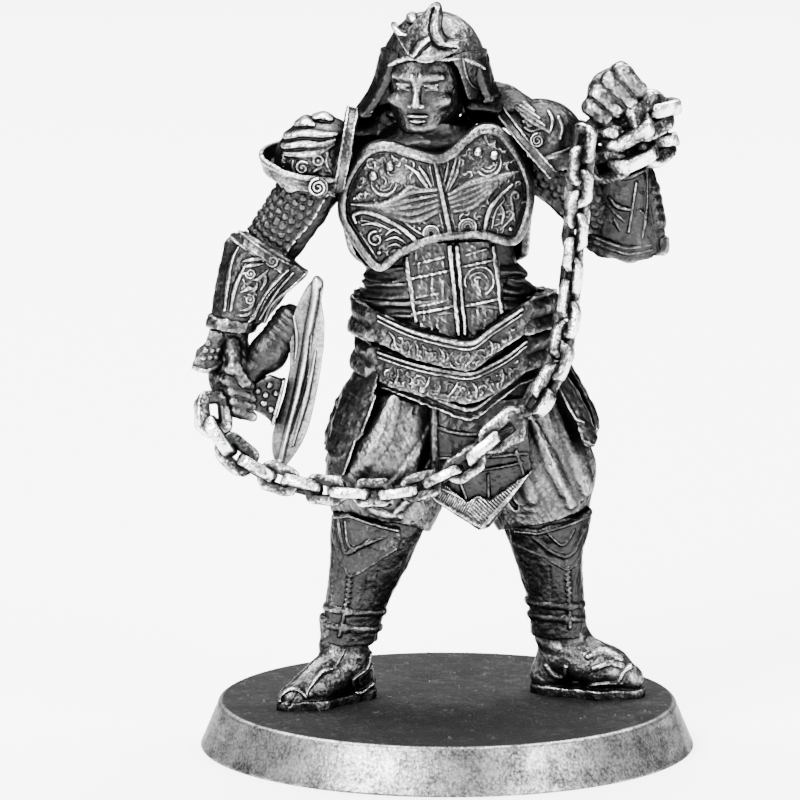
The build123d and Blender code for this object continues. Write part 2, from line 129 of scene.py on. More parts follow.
class Relief:
    """A height map in millimetres over a flat patch, drawn with strokes. The tallest stroke wins."""

    def __init__(self, low, high, step=0.03):
        self.low, self.step = low, step
        self.u = np.arange(low[0], high[0] + step, step)[:, None]
        self.v = np.arange(low[1], high[1] + step, step)[None, :]
        self.h = np.zeros((self.u.size, self.v.size))

    def window(self, points, reach):
        """The part of the map that a stroke can touch."""
        points = np.asarray(points, float)
        low = np.floor((points.min(0) - reach - self.low) / self.step).astype(int).clip(0)
        high = np.ceil((points.max(0) + reach - self.low) / self.step).astype(int).clip(0) + 1
        return slice(low[0], high[0]), slice(low[1], high[1])

    def stroke(self, points, width=0.12, height=0.12, taper=(1, 1, 1), sharp=0.7):
        """A raised line. taper scales its width at its start, middle and end. A negative height carves."""
        rows, columns = self.window(points, width)
        u, v = self.u[rows], self.v[:, columns]
        if u.size == 0 or v.size == 0:
            return self
        d, along = line_distance(u, v, points)
        local = np.interp(along, (0, 0.5, 1), taper)
        bump = (1 - (d / (width * np.maximum(local, 0.05))) ** 2).clip(0) ** sharp
        bump *= height * np.minimum(1, 0.35 + 0.65 * local)
        patch = self.h[rows, columns]
        self.h[rows, columns] = np.maximum(patch, bump) if height > 0 else patch + bump
        return self

    def strokes(self, lines, **how):
        for points in lines:
            self.stroke(points, **how)
        return self

    def curves(self, lines, **how):
        """Strokes through the points of each line, smoothed."""
        return self.strokes(map(curve, lines), **how)

    def stud(self, centre, radius, height=0.18):
        """A domed stud."""
        rows, columns = self.window([centre], radius)
        u, v = self.u[rows], self.v[:, columns]
        r2 = ((u - centre[0]) ** 2 + (v - centre[1]) ** 2) / radius**2
        self.h[rows, columns] = np.maximum(self.h[rows, columns], height * (1 - r2).clip(0) ** 0.5)
        return self

    def rosette(self, centre, radius, height=0.14, start=0, hand=1):
        """A rolled scroll with an eye."""
        self.stroke(spiral(centre, radius, 1.5, start, hand=hand), radius * 0.26, height)
        return self.stud(centre, radius * 0.3, height * 1.1)

    def scroll(self, start, centre, radius, width=0.11, height=0.12, hand=1):
        """A stem that grows from start and curls up round centre."""
        a = math.degrees(math.atan2(start[1] - centre[1], start[0] - centre[0]))
        curl = spiral(centre, radius, 1.25, a + hand * 60, hand=hand)
        stem = curve([start, *curl[:1]], 6)
        line = np.vstack([stem, curl])
        return self.stroke(line, width, height, taper=(0.5, 1.1, 0.6))

    def fill(self, outline, height, soft=0.08):
        """A raised flat area."""
        rows, columns = self.window(outline, soft)
        d = outline_distance(self.u[rows], self.v[:, columns], outline)
        area = height * (0.5 - d / soft / 2).clip(0, 1)
        self.h[rows, columns] = np.maximum(self.h[rows, columns], area)
        return self

    def filigree(self, outline, count, seed, width=0.06, height=0.13):
        """Small curled leaves strewn at random inside an outline; where a larger stroke is taller it stands
        over them.
        """
        rng = np.random.default_rng(seed)
        outline = np.asarray(outline, float)
        centres = rng.uniform(outline.min(0), outline.max(0), (count, 2))
        radii, starts = rng.uniform(0.08, 0.22, count), rng.uniform(0, 360, count)
        sweeps = rng.choice((-1, 1), count) * rng.uniform(110, 240, count)
        heights = height * rng.uniform(0.5, 1, count)
        for centre, radius, start, sweep, tall in zip(centres, radii, starts, sweeps, heights):
            leaf = arc(centre, radius, start, start + sweep, 6)
            if outline_distance(*leaf.T, outline[::3] if len(outline) > 30 else outline).max() < -0.12:
                self.stroke(leaf, width, tall, taper=(0.5, 1.2, 0.5))
        return self

    def at(self, u, v):
        """The height at points, smoothly between samples, 0 outside the patch."""
        i = (u - self.low[0]) / self.step
        j = (v - self.low[1]) / self.step
        i, j = np.broadcast_arrays(i, j)
        inside = (i >= 0) & (j >= 0) & (i < self.h.shape[0] - 1) & (j < self.h.shape[1] - 1)
        i, j = np.where(inside, i, 0), np.where(inside, j, 0)
        i0, j0 = i.astype(np.int32), j.astype(np.int32)
        fi, fj = i - i0, j - j0
        h = self.h
        top = h[i0, j0] * (1 - fi) + h[i0 + 1, j0] * fi
        bottom = h[i0, j0 + 1] * (1 - fi) + h[i0 + 1, j0 + 1] * fi
        return np.where(inside, top * (1 - fj) + bottom * fj, 0).astype(F32)


# ---- solids as signed distance ------------------------------------------------------------------------
def rotation(turn):
    """The matrix of a turn about X, then Y, then Z, in degrees."""
    cx, cy, cz = np.cos(np.radians(turn))
    sx, sy, sz = np.sin(np.radians(turn))
    about_x = np.array([[1, 0, 0], [0, cx, -sx], [0, sx, cx]])
    about_y = np.array([[cy, 0, sy], [0, 1, 0], [-sy, 0, cy]])
    about_z = np.array([[cz, -sz, 0], [sz, cz, 0], [0, 0, 1]])
    return about_z @ about_y @ about_x


def local(p, centre, turn=None):
    """Coordinates measured from centre along axes turned by turn."""
    q = [a - F32(c) for a, c in zip(p, centre)]
    if turn is None:
        return q
    m = rotation(turn).astype(F32)
    return [q[0] * m[0, i] + q[1] * m[1, i] + q[2] * m[2, i] for i in range(3)]


def ellipsoid(p, centre, radii, turn=None):
    q = local(p, centre, turn)
    near = np.sqrt(sum((c / F32(r)) ** 2 for c, r in zip(q, radii)))
    slope = np.sqrt(sum((c / F32(r * r)) ** 2 for c, r in zip(q, radii))) + F32(1e-4)
    return near * (near - 1) / slope


def capsule(p, a, b, start, end=None):
    """A rod from a to b with round ends of radius start and end."""
    a, b = np.array(a, F32), np.array(b, F32)
    ab = b - a
    q = [c - o for c, o in zip(p, a)]
    h = np.clip(sum(c * o for c, o in zip(q, ab)) / F32((ab @ ab) or 1e-9), 0, 1)
    radius = F32(start) + F32((start if end is None else end) - start) * h
    return np.sqrt(sum((c - h * o) ** 2 for c, o in zip(q, ab))) - radius


def block(p, centre, half, turn=None, rounding=0.0):
    q = [np.abs(c) - F32(h - rounding) for c, h in zip(local(p, centre, turn), half)]
    outside = np.sqrt(sum(np.maximum(c, 0) ** 2 for c in q))
    inside = np.minimum(np.maximum(np.maximum(q[0], q[1]), q[2]), 0)
    return outside + inside - F32(rounding)


def union(a, b, blend=0.0):
    if not blend:
        return np.minimum(a, b)
    h = np.clip(0.5 + 0.5 * (b - a) / blend, 0, 1)
    return b + (a - b) * h - blend * h * (1 - h)


def overlap(a, b, blend=0.0):
    return -union(-a, -b, blend)


class Limb:
    """A tapering tube through ellipses, each given as (centre, half width, half depth)."""

    def __init__(self, *stations, upright=False):
        centres = np.array([s[0] for s in stations], float)
        self.origin = centres[0]
        axis = centres[-1] - centres[0]
        if upright:
            axis = np.array([0, 0, math.copysign(1, axis[2])])
        self.axis = axis / np.linalg.norm(axis)
        side = np.cross((0, 1, 0), self.axis)
        self.side = side / np.linalg.norm(side)
        self.depth = np.cross(self.axis, self.side)
        rows = [(*(m @ (c - self.origin) for m in (self.axis, self.side, self.depth)), s[1], s[2])
                for c, s in zip(centres, stations)]
        self.table = curve(rows, 12).T
        self.length = self.table[0, -1]

    def coordinates(self, p):
        """Distance along the limb, offsets from its middle, and its half width and half depth there."""
        q = [c - F32(o) for c, o in zip(p, self.origin)]
        w, u, v = (sum(c * F32(a) for c, a in zip(q, m) if a) for m in (self.axis, self.side, self.depth))
        row = [np.interp(w, self.table[0], self.table[i]).astype(F32) for i in (1, 2, 3, 4)]
        return w, u - row[0], v - row[1], row[2], row[3]

    def distance(self, p, grow=0.0, ends=True):
        w, u, v, half_width, half_depth = self.coordinates(p)
        a, b = half_width + F32(grow), half_depth + F32(grow)
        near = np.hypot(u / a, v / b)
        d = near * (near - 1) / (np.hypot(u / a**2, v / b**2) + F32(1e-4))
        if ends:
            d = overlap(d, np.maximum(-w, w - F32(self.length)), 0.15)
        return d

    def around(self, p):
        """Distance along, and angle round the limb in degrees: 0 at the front, 90 on the +side."""
        w, u, v, half_width, half_depth = self.coordinates(p)
        return w, np.degrees(np.arctan2(u / half_width, -v / half_depth))


def lattice(ix, iy, iz, seed):
    """A fixed pseudo-random value from 0 to 1 for each whole-number point."""
    n = ix * 374761393 + iy * 668265263 + iz * 2147483647 + seed * 974634777
    n = (n ^ (n >> 13)) * 1274126177
    return ((n ^ (n >> 16)) & 0xFFFF).astype(F32) / F32(0xFFFF)


def noise(x, y, z, size, seed=0):
    """Smooth noise from -1 to 1 with lumps about size across."""
    cells = [np.floor(c / size).astype(np.int64) for c in (x, y, z)]
    t = [(c / size - k).astype(F32) for c, k in zip((x, y, z), cells)]
    t = [c * c * (3 - 2 * c) for c in t]
    total = 0
    for corner in range(8):
        bits = [(corner >> k) & 1 for k in range(3)]
        weight = 1
        for bit, c in zip(bits, t):
            weight = weight * (c if bit else 1 - c)
        total = total + weight * lattice(*(k + bit for k, bit in zip(cells, bits)), seed)
    return total * 2 - 1


class Clay:
    """A block of space in millimetres that holds one piece as signed distance."""

    def __init__(self, low, high, voxel=0.06):
        self.step = voxel * COARSER
        self.low = np.array(low, float)
        axes = [np.arange(a, b + self.step, self.step, dtype=F32) for a, b in zip(low, high)]
        self.p = (axes[0][:, None, None], axes[1][None, :, None], axes[2][None, None, :])
        self.shape = tuple(a.size for a in axes)
        self.d = np.full(self.shape, 9, F32)

    @classmethod
    def over(cls, node, margin=0.6, voxel=0.06):
        """A block round a CAD node."""
        low, high = (np.array(corner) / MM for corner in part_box(node))
        return cls(low - margin, high + margin, voxel)

    def add(self, d, blend=0.0):
        self.d = union(self.d, d, blend)
        return self

    def cut(self, d, blend=0.0):
        self.d = overlap(self.d, -d, blend)
        return self

    def keep(self, d, blend=0.0):
        self.d = overlap(self.d, d, blend)
        return self

    def lift(self, height):
        """Raises the surface by a height that is known over the whole block."""
        self.d = self.d - height
        return self

    def draw(self, relief, where=1):
        """Raises the surface by a relief seen along Y, as far as where says."""
        return self.lift(relief.at(self.p[0], self.p[2]) * where)

    def within(self, outline, rounding):
        """Keeps what lies inside an outline seen along Y."""
        return self.keep(outline_distance(self.p[0], self.p[2], outline).astype(F32), rounding)

    def dress(self, height, reach=0.7):
        """Raises the surface by height(x, y, z), worked out near the surface only."""
        near = np.nonzero(np.abs(self.d) < reach)
        x, y, z = (np.broadcast_to(c, self.shape)[near] for c in self.p)
        self.d[near] -= height(x, y, z)
        return self

    def roughen(self, height, size, seed=0):
        return self.dress(lambda x, y, z: F32(height) * noise(x, y, z, size, seed), 0.3)


def box_blur(d, radius):
    """The mean over a cube of radius voxels each way."""
    for axis in range(3):
        pad = [(0, 0)] * 3
        pad[axis] = (radius + 1, radius)
        total = np.cumsum(np.pad(d, pad, mode="edge"), axis=axis, dtype=np.float64)
        size = d.shape[axis]
        high = np.take(total, np.arange(2 * radius + 1, 2 * radius + 1 + size), axis=axis)
        low = np.take(total, np.arange(size), axis=axis)
        d = ((high - low) / (2 * radius + 1)).astype(F32)
    return d


def sample(d, points):
    """Values of a grid between its samples."""
    limit = np.array(d.shape) - 2
    base = np.clip(np.floor(points).astype(int), 0, limit)
    t = points - base
    total = 0
    for corner in range(8):
        bits = np.array([(corner >> k) & 1 for k in range(3)])
        weight = np.prod(np.where(bits, t, 1 - t), axis=1)
        i = base + bits
        total = total + weight * d[i[:, 0], i[:, 1], i[:, 2]]
    return total


def largest_shell(points, faces, keep_share=0.02):
    """Drops the crumbs: shells with fewer points than keep_share of the largest."""
    label = np.arange(len(points))
    a, b = faces.ravel(), np.roll(faces, -1, axis=1).ravel()
    while True:
        least = np.minimum(label[a], label[b])
        before = label.copy()
        np.minimum.at(label, a, least)
        np.minimum.at(label, b, least)
        label = label[label]
        if (label == before).all():
            break
    count = np.bincount(label, minlength=len(points))
    good = count[label] >= keep_share * count.max()
    faces = faces[good[faces[:, 0]]]
    number = np.cumsum(good) - 1
    return points[good], number[faces]


def skin(clay):
    """The clay's surface: points in millimetres, quads, and how sharply and broadly each stands proud."""
    band = 3 * clay.step
    d = np.clip(clay.d, -band, band).astype(F32)
    for axis in range(3):
        edge = [slice(None)] * 3
        for end in (0, -1):
            edge[axis] = end
            d[tuple(edge)] = np.maximum(d[tuple(edge)], band / 2)
    grid = openvdb.FloatGrid(background=band)
    grid.copyFromArray(d)
    points, _, quads = grid.convertToPolygons(0.0, 0.0)
    points, quads = largest_shell(points, quads.astype(np.int64))
    wide = np.clip(clay.d, -0.5, 0.5)
    sharp_radius = max(1, round(SHARP_REACH / clay.step))
    broad_radius = max(2, round(BROAD_REACH / clay.step))
    sharp = sample(box_blur(d, sharp_radius), points) / SHARP_REACH
    broad = sample(box_blur(wide, broad_radius), points) / BROAD_REACH
    return points * clay.step + clay.low, quads, sharp, broad


# ---- the body that the plates sit on ------------------------------------------------------------------
TORSO = Limb(
    ((0.4, 0.3, 20.6), 4.1, 2.6),
    ((0.1, 0.3, 23.0), 3.95, 2.5),
    ((-0.4, 0.2, 25.2), 3.6, 2.45),
    ((-0.6, 0.1, 27.6), 3.9, 2.65),
    ((-0.7, 0.2, 29.6), 3.65, 2.4),
    ((-0.8, 0.2, 30.9), 2.0, 1.7),
    upright=True,
)
SKIRT = Limb(
    ((0.3, 0.3, 23.8), 4.5, 3.0),
    ((0.45, 0.3, 20.8), 4.5, 3.0),
    ((0.5, 0.3, 17.0), 4.9, 3.2),
    upright=True,
)

PIECES = []

# How much lighter or darker each piece is, and what share of its raised detail is rubbed bright.
# The first value is partly the wash and partly painted shade: the body, hips, neck guard and far cheek
# guard, tucked under other parts, are darkened where shade falls.
TONES_AND_PAINTED_SHADE = {
    "head": (0.06, 1.0), "right_thigh": (-0.1, 0.8), "left_thigh": (-0.12, 0.7), "hips": (-0.2, 0.5),
    "torso": (-0.2, 0.5), "neck_guard": (-0.16, 0.4), "helmet_bowl": (0.12, 0.9),
    "right_cheek": (-0.2, 0.4),
    "left_cheek": (-0.06, 0.6), "collar": (-0.1, 0.8), "right_upper": (-0.1, 0.8),
    "left_upper": (-0.14, 0.6),
    "front_flap": (-0.1, 0.6), "waist": (-0.12, 0.8), "left_vambrace": (-0.14, 0.6),
    "left_hem": (-0.1, 0.7),
    "left_hand": (0.06, 1.0), "left_elbow": (-0.04, 0.8), "right_hand": (-0.04, 1.0),
    "sickle_handle": (-0.1, 0.7),
    "sickle_guard": (-0.1, 0.8), "right_greave": (-0.1, 0.5), "left_greave": (-0.16, 0.4),
    "right_knee": (-0.1, 0.6),
    "left_knee": (-0.18, 0.5), "right_boot": (0.04, 0.8), "left_boot": (0.07, 0.8),
    "right_lower_ankle": (-0.06, 0.7),
    "right_upper_ankle": (-0.06, 0.7), "left_lower_ankle": (-0.14, 0.5), "left_upper_ankle": (-0.14, 0.5),
    "right_trouser": (0.1, 1.0), "left_trouser": (0.05, 1.0), "belly_panel": (0.02, 0.9),
    "brow_crest": (0.04, 1.0),
    "skirt": (-0.04, 1.0), "backplate": (-0.05, 0.9), "left_pauldron": (-0.05, 0.9),
    "right_pauldron": (0.05, 1.0),
}


def pieces(arguments, slot="armour_metal"):
    """Registers one function for several CAD nodes, given the arguments it takes for each."""
    def register(make):
        for node, values in arguments.items():
            PIECES.append(((node,), slot, lambda values=values: make(*values)))
        return make
    return register


def piece(node, slot="armour_metal"):
    """Registers a function that sculpts the piece standing for a CAD node."""
    return pieces({node: ()}, slot)


def for_both_sides(pattern, slot="armour_metal"):
    """Registers a function of side for the right and the left node."""
    return pieces({pattern.format(side): (side,) for side in ("right", "left")}, slot)


def front_only(clay, y=0.0, fade=0.6):
    """1 at the front of y, falling to 0 behind it."""
    return np.clip((y - clay.p[1]) / fade, 0, 1)


@piece("torso", slot="cloth_metal")
def torso():
    c = Clay.over("torso", 0.5, 0.09)
    c.add(TORSO.distance(c.p, 0.15))
    return c.dress(lambda x, y, z: 0.1 * noise(x * 0.7, y, z * 2.2 + 0.5 * x, 0.9, 3))


CHEST = Limb(
    ((-0.4, 0.2, 24.0), 4.2, 3.0), ((-0.55, 0.15, 26.0), 4.45, 3.2), ((-0.62, 0.1, 28.2), 4.7, 3.4),
    ((-0.6, 0.15, 30.0), 4.35, 3.05), ((-0.3, 0.5, 31.7), 3.3, 2.2), upright=True,
)


BREAST = curve([
    (-3.5, 24.7), (-2.4, 25.5), (-0.9, 26.2), (0.4, 26.42), (1.7, 26.4), (3.3, 25.95), (4.0, 27.2),
    (4.1, 28.7),
    (3.5, 30.2), (2.6, 31.3), (1.7, 31.55), (0.9, 31.1), (0.2, 30.5), (-0.6, 30.2), (-1.9, 30.5),
    (-3.1, 30.75),
    (-4.2, 30.3), (-5.1, 28.9), (-5.3, 27.3), (-4.85, 26.3),
], 6, closed=True)


def breast_relief():
    r = Relief((-6, 24), (5, 32), 0.025)
    rim = [*BREAST, BREAST[0]]
    r.stroke(rim, 0.29, 0.3, sharp=0.5)
    # the middle rib, with a line down each side
    r.stroke([(-0.68, 30.2), (0.08, 26.6)], 0.16, 0.26, sharp=0.45)
    r.strokes([[(-0.92, 29.9), (-0.22, 26.6)], [(-0.4, 29.9), (0.38, 26.6)]], width=0.06, height=0.1)
    # studs over crescents
    for stud, centre, turn in (
        ((-2.9, 29.8), (-3.2, 29.05), 0), ((-3.72, 29.3), (-3.2, 29.05), 0),
        ((1.45, 30.5), (2.0, 29.95), 20), ((2.28, 30.3), (2.0, 29.95), 20),
    ):
        r.stud(stud, 0.24, 0.28)
        for radius, width, height in ((0.62, 0.13, 0.2), (0.4, 0.08, 0.12), (0.22, 0.08, 0.1)):
            r.stroke(arc(centre, radius, 195 + turn, 355 + turn), width, height, taper=(0.3, 1.1, 0.3))
    # leaves that lean on the middle rib
    r.curves([
        [(-2.1, 29.9), (-1.5, 29.5), (-0.95, 28.75)], [(-1.75, 29.8), (-1.3, 29.2), (-0.95, 28.7)],
        [(-1.45, 29.85), (-1.1, 29.35), (-0.85, 28.9)], [(0.42, 30.35), (0.2, 29.6), (-0.1, 28.75)],
        [(0.6, 30.3), (0.4, 29.5), (0.0, 28.7)], [(0.0, 30.1), (-0.1, 29.5), (-0.25, 29.0)],
    ], width=0.12, height=0.2, taper=(0.4, 1.2, 0.5))
    # a spread wing each side: soft overlapping feathers
    right_wing = ((-4.85, 27.8), [(-0.6, 28.75), (-0.58, 28.5), (-0.52, 28.25), (-0.47, 28.0),
                                  (-0.42, 27.7)], 0.5)
    left_wing = ((3.5, 29.45), [(0.02, 28.5), (0.05, 28.3), (0.1, 28.1), (0.16, 27.9), (0.22, 27.65)], -0.1)
    for (tip_u, tip_v), roots, swell in (right_wing, left_wing):
        for i, (u, v) in enumerate(roots):
            fan = 0.34 - 0.2 * i
            far = (tip_u + (u - tip_u) * 0.35, tip_v + (v - tip_v) * 0.2 + 0.25 * fan - 0.1)
            near = (tip_u + (u - tip_u) * 0.7, tip_v + (v - tip_v) * 0.6 + fan * (0.8 + swell * 0.4) - 0.12)
            r.stroke(curve([(tip_u, tip_v), far, near, (u, v)]), 0.25, 0.25 - 0.025 * i,
                     taper=(0.3, 1.2, 0.7), sharp=1.4)
    r.stroke(curve([(-3.1, 28.05), (-2.4, 28.45), (-1.9, 28.85), (-1.3, 28.75)]), 0.16, 0.24,
             taper=(0.4, 1.2, 0.4))
    r.stroke(curve([(0.5, 28.75), (1.2, 29.1), (1.9, 29.05), (2.6, 29.25)]), 0.14, 0.22,
             taper=(0.4, 1.2, 0.4))
    # straps that sweep under the wings
    r.stroke(curve([(-4.6, 26.9), (-4.7, 27.25), (-4.2, 27.5), (-3.4, 27.35), (-2.4, 26.85),
                    (-1.6, 26.15)]),
             0.17, 0.28, taper=(0.7, 1.1, 0.9), sharp=0.55)
    r.stroke(curve([(3.2, 28.85), (2.5, 28.3), (2.0, 27.6), (1.8, 26.7)]), 0.15, 0.27,
             taper=(0.5, 1.1, 0.9), sharp=0.55)
    r.curves([[(-2.2, 27.1), (-1.5, 26.6), (-1.1, 26.4)], [(2.8, 28.15), (2.35, 27.6), (2.15, 26.7)],
              [(-4.3, 27.05), (-3.6, 27.0), (-2.9, 26.7)]], width=0.07, height=0.13)
    # rings against the lower rim
    for centre, radius in (((0.95, 26.85), 0.42), ((-0.85, 26.55), 0.38)):
        for share in (1.0, 0.68, 0.36):
            r.stroke(arc(centre, radius * share, -20, 200), 0.08, 0.18 * (0.6 + 0.4 * share))
    # the corner panels
    r.rosette((-3.6, 26.15), 0.4, 0.22, 90)
    r.stud((-3.42, 25.45), 0.15, 0.24)
    r.curves([
        [(-4.4, 26.4), (-3.9, 25.7), (-3.5, 25.1)], [(-3.1, 26.4), (-2.7, 26.7), (-2.3, 26.45)],
        [(-3.15, 26.1), (-2.6, 26.3), (-2.0, 25.95)], [(-3.0, 25.8), (-2.6, 25.95), (-2.2, 25.75)],
        [(-4.3, 26.8), (-3.8, 26.95), (-3.3, 26.8)], [(-2.9, 25.5), (-2.6, 25.65), (-2.4, 25.6)],
    ], width=0.1, height=0.19, taper=(0.5, 1.2, 0.4))
    r.scroll((2.6, 26.6), (3.0, 27.35), 0.26).scroll((3.3, 27.0), (3.35, 28.25), 0.24, hand=-1)
    r.stud((3.1, 26.6), 0.14, 0.22).stroke(curve([(2.6, 27.9), (2.75, 27.5), (2.65, 26.9)]), 0.12, 0.2,
                                           (0.4, 1.2, 0.4))
    return r.filigree(BREAST, 330, seed=1)


@piece("breastplate")
def breastplate():
    c = Clay.over("breastplate", 0.7, 0.048)
    x, y, z = c.p
    chest = 0.3 * np.exp(-((x + 2.6) ** 2 + (z - 28.3) ** 2) / 3.5)
    chest = chest + 0.3 * np.exp(-((x - 1.7) ** 2 + (z - 28.6) ** 2) / 3.5)
    c.add(np.abs(CHEST.distance(c.p, 0.1, ends=False) - chest) - 0.24)
    c.within(BREAST, 0.08)
    c.keep(y - 0.35, 0.1)
    c.draw(breast_relief(), front_only(c, -0.3))
    return c.roughen(0.012, 0.16, 5)


@piece("backplate")
def backplate():
    c = Clay.over("backplate", 0.7, 0.07)
    x, y, z = c.p
    outline = curve([(-4.5, 24.7), (-1, 24.2), (4.0, 24.9), (4.6, 28.3), (2.9, 30.7), (-0.8, 30.2),
                     (-4.0, 30.7),
                     (-5.4, 28.0)], 6, closed=True)
    c.add(np.abs(CHEST.distance(c.p, 0.05, ends=False)) - 0.24)
    c.within(outline, 0.1)
    c.keep(0.45 - y, 0.1)
    r = Relief((-6, 23.5), (5.5, 31.5), 0.04)
    r.stroke([*outline, outline[0]], 0.34, 0.28, sharp=0.45)
    r.stroke([(-0.7, 30.3), (-0.3, 24.4)], 0.24, 0.24, sharp=0.4)
    for lean in (-1, 1):
        middle = lambda u, v: (-0.5 + lean * u, v)
        r.stroke(curve([middle(0.5, 25.6), middle(1.8, 26.6), middle(3.4, 26.3)]), 0.16, 0.2)
        r.stroke(curve([middle(0.4, 28.9), middle(1.7, 28.0), middle(3.7, 28.6)]), 0.2, 0.24,
                 (0.5, 1.2, 0.4))
        r.stroke(curve([middle(0.4, 28.3), middle(1.7, 27.4), middle(3.6, 27.9)]), 0.15, 0.18,
                 (0.5, 1.2, 0.4))
        r.rosette(middle(2.2, 29.4), 0.5, 0.2, 0, lean)
        r.scroll(middle(1.0, 25.0), middle(1.9, 25.5), 0.35, 0.12, 0.18, -lean)
        r.stud(middle(3.2, 25.4), 0.2, 0.22)
    c.draw(r, np.clip((y - 0.9) / 0.6, 0, 1))
    return c.roughen(0.012, 0.18, 6)


@piece("collar", slot="cloth_metal")
def collar():
    c = Clay((-6.2, -3.4, 28.9), (4.6, 3.6, 34.2), 0.06)
    neck = Limb(((-0.8, 0.15, 29.6), 3.3, 2.6), ((-0.8, 0.15, 30.7), 2.65, 2.3),
                ((-0.8, 0.0, 31.75), 1.9, 1.95), upright=True)
    c.add(neck.distance(c.p))
    c.add(capsule(c.p, (-5.0, 0.9, 30.9), (-2.4, 0.8, 31.9), 0.75, 0.7), 0.4)
    c.add(capsule(c.p, (1.3, 1.2, 32.6), (3.3, 1.1, 32.3), 1.05, 1.0), 0.4)
    hollow = Limb(((-0.8, 0.1, 30.2), 1.25, 1.3), ((-0.8, 0, 32.4), 1.75, 1.75), upright=True)
    c.cut(hollow.distance(c.p, ends=False), 0.1)

    def cowl(x, y, z):
        w, angle = neck.around((x, y, z))
        level = w + 0.35 * np.cos(np.radians(angle))
        folds = 0.13 * np.sin(level * 5.2 + 1.1 * noise(x, y, z, 1.3, 7)) * np.clip(level - 0.2, 0, 1)
        beads = 0.1 * np.clip(1 - np.abs(level - 0.95) / 0.12, 0, 1) * (0.4 + 0.6 * np.cos(angle / 2.6))
        return folds + beads + 0.03 * noise(x, y, z, 0.25, 9)
    return c.dress(cowl)


@piece("belly_panel", slot="cloth_metal")
def belly_panel():
    c = Clay.over("belly_panel", 0.7, 0.042)
    x, y, z = c.p
    outline = [(-2.35, 25.5), (-1.7, 21.9), (1.0, 20.9), (2.9, 22.4), (2.35, 26.0), (0.3, 26.4)]
    c.add(np.abs(TORSO.distance(c.p, 0.42, ends=False)) - 0.22)
    c.within(outline, 0.08)
    c.keep(y, 0.1)
    r = Relief((-3, 20.5), (3.4, 26.6), 0.025)
    r.strokes([[(-2.1, 25.2), (-1.6, 22.0)], [(2.25, 25.7), (2.68, 22.4)]], width=0.13, height=0.17,
              sharp=0.6)
    r.strokes([[(0.08, 25.8), (0.52, 21.4)], [(0.42, 25.8), (0.86, 21.4)]], width=0.15, height=0.24,
              sharp=0.6)
    r.strokes([[(-2.05, 24.1), (0.15, 24.6)], [(-1.8, 22.35), (0.35, 22.8)], [(0.65, 24.75), (2.35, 25.05)],
               [(0.9, 22.8), (2.6, 23.1)]], width=0.11, height=0.13)
    r.stroke(arc((1.55, 24.0), 0.72, -60, 200), 0.07, 0.1)
    r.strokes([arc((1.5, 24.0), radius, 20, 160, 12) for radius in (0.22, 0.45)], width=0.06, height=0.07)
    r.strokes([[(-1.55, 23.2), (-0.5, 23.42)], [(-1.5, 22.75), (-0.3, 23.0)],
               [(-1.75, 24.85), (-0.2, 25.25)],
               [(0.9, 25.35), (1.9, 25.6)]], width=0.09, height=0.07)
    c.draw(r)
    return c.dress(lambda x, y, z: 0.06 * noise(x * 3, y, z * 0.9, 0.4, 8)
                   + 0.04 * noise(x * 1.5 + z, y, z, 0.16, 10))


# Turns of the waist cloth: how proud each stands, its height, how far it climbs, and a seed.
WRAPS = {"lower": (0.62, 22.35, 0.5, 11), "middle": (0.42, 23.2, 0.5, 12), "upper": (0.3, 24.05, 0.55, 13)}


@pieces({f"waist_wrap_{level}": (level,) for level in WRAPS}, slot="cloth_metal")
def waist_wrap(level):
    """A soft roll that climbs towards the middle of the front."""
    proud, height, climb, seed = WRAPS[level]
    c = Clay.over(f"waist_wrap_{level}", 0.9, 0.06)
    x, y, z = c.p
    middle = height + climb * (1 - np.abs(x - 0.2) / 4.6)
    outer = TORSO.distance(c.p, proud, ends=False)
    c.add(np.maximum(outer, -TORSO.distance(c.p, -0.1, ends=False)))
    c.keep(np.abs(z - middle) - 0.46, 0.25)

    def folds(x, y, z):
        up = z - height - climb * (1 - np.abs(x - 0.2) / 4.6)
        lines = np.sin(up * 9.0 + 1.2 * noise(x, y, z * 0.5, 1.1, seed) + x * 0.5)
        return 0.1 * lines + 0.08 * noise(x * 0.6, y * 0.6, z * 2, 0.5, seed + 1)
    return c.dress(folds)


# Skirt plates: the (x, z) points of each upper edge, how far down the plate reaches, how proud it stands,
# and a seed.
SKIRT_PLATES = {
    "upper": ([(-4.9, 22.6), (-3.5, 22.25), (-2.1, 21.7), (-0.6, 21.3), (1.1, 21.07), (2.3, 21.8),
               (3.7, 22.65),
               (4.9, 22.95)], 1.3, 0.42, 21),
    "middle": ([(-5.1, 20.9), (-3.5, 20.4), (-1.7, 19.95), (0.0, 19.65), (1.3, 19.6), (2.9, 20.3),
                (3.9, 21.0),
                (5.2, 21.3)], 1.45, 0.28, 22),
    "lower": ([(-5.3, 19.5), (-3.5, 19.2), (-1.7, 18.65), (-0.4, 18.2), (1.16, 17.75), (2.5, 18.6),
               (3.7, 19.4),
               (5.3, 19.8)], 0.5, 0.1, 23),
}


def skirt_relief(edge, down, seed):
    """A broad roll and a thin line along the front of the upper edge, and filigree on the band below."""
    r = Relief((-6, 16.5), (6, 24.5), 0.025)
    front = curve(edge[1:-1], 6)
    r.stroke(front - (0, 0.06), 0.2, 0.34, taper=(0.4, 1, 0.5), sharp=0.5)
    if down > 1:
        r.stroke(front - (0, 0.31), 0.11, 0.26, taper=(0.5, 1, 0.6))
        rng = np.random.default_rng(seed)
        for u, v in front[3:-3:5]:
            lean = rng.uniform(-0.3, 0.3)
            r.stroke(curve([(u - lean, v - down * 0.38), (u + 0.1, v - down * 0.6),
                            (u + lean, v - down * 0.9)]), 0.09, 0.15,
                     (0.5, 1.2, 0.5))
        band = np.vstack([front - (0, down * 0.25), (front - (0, down * 1.1))[::-1]])
        r.filigree(band, 420, seed, 0.065, 0.12)
    return r


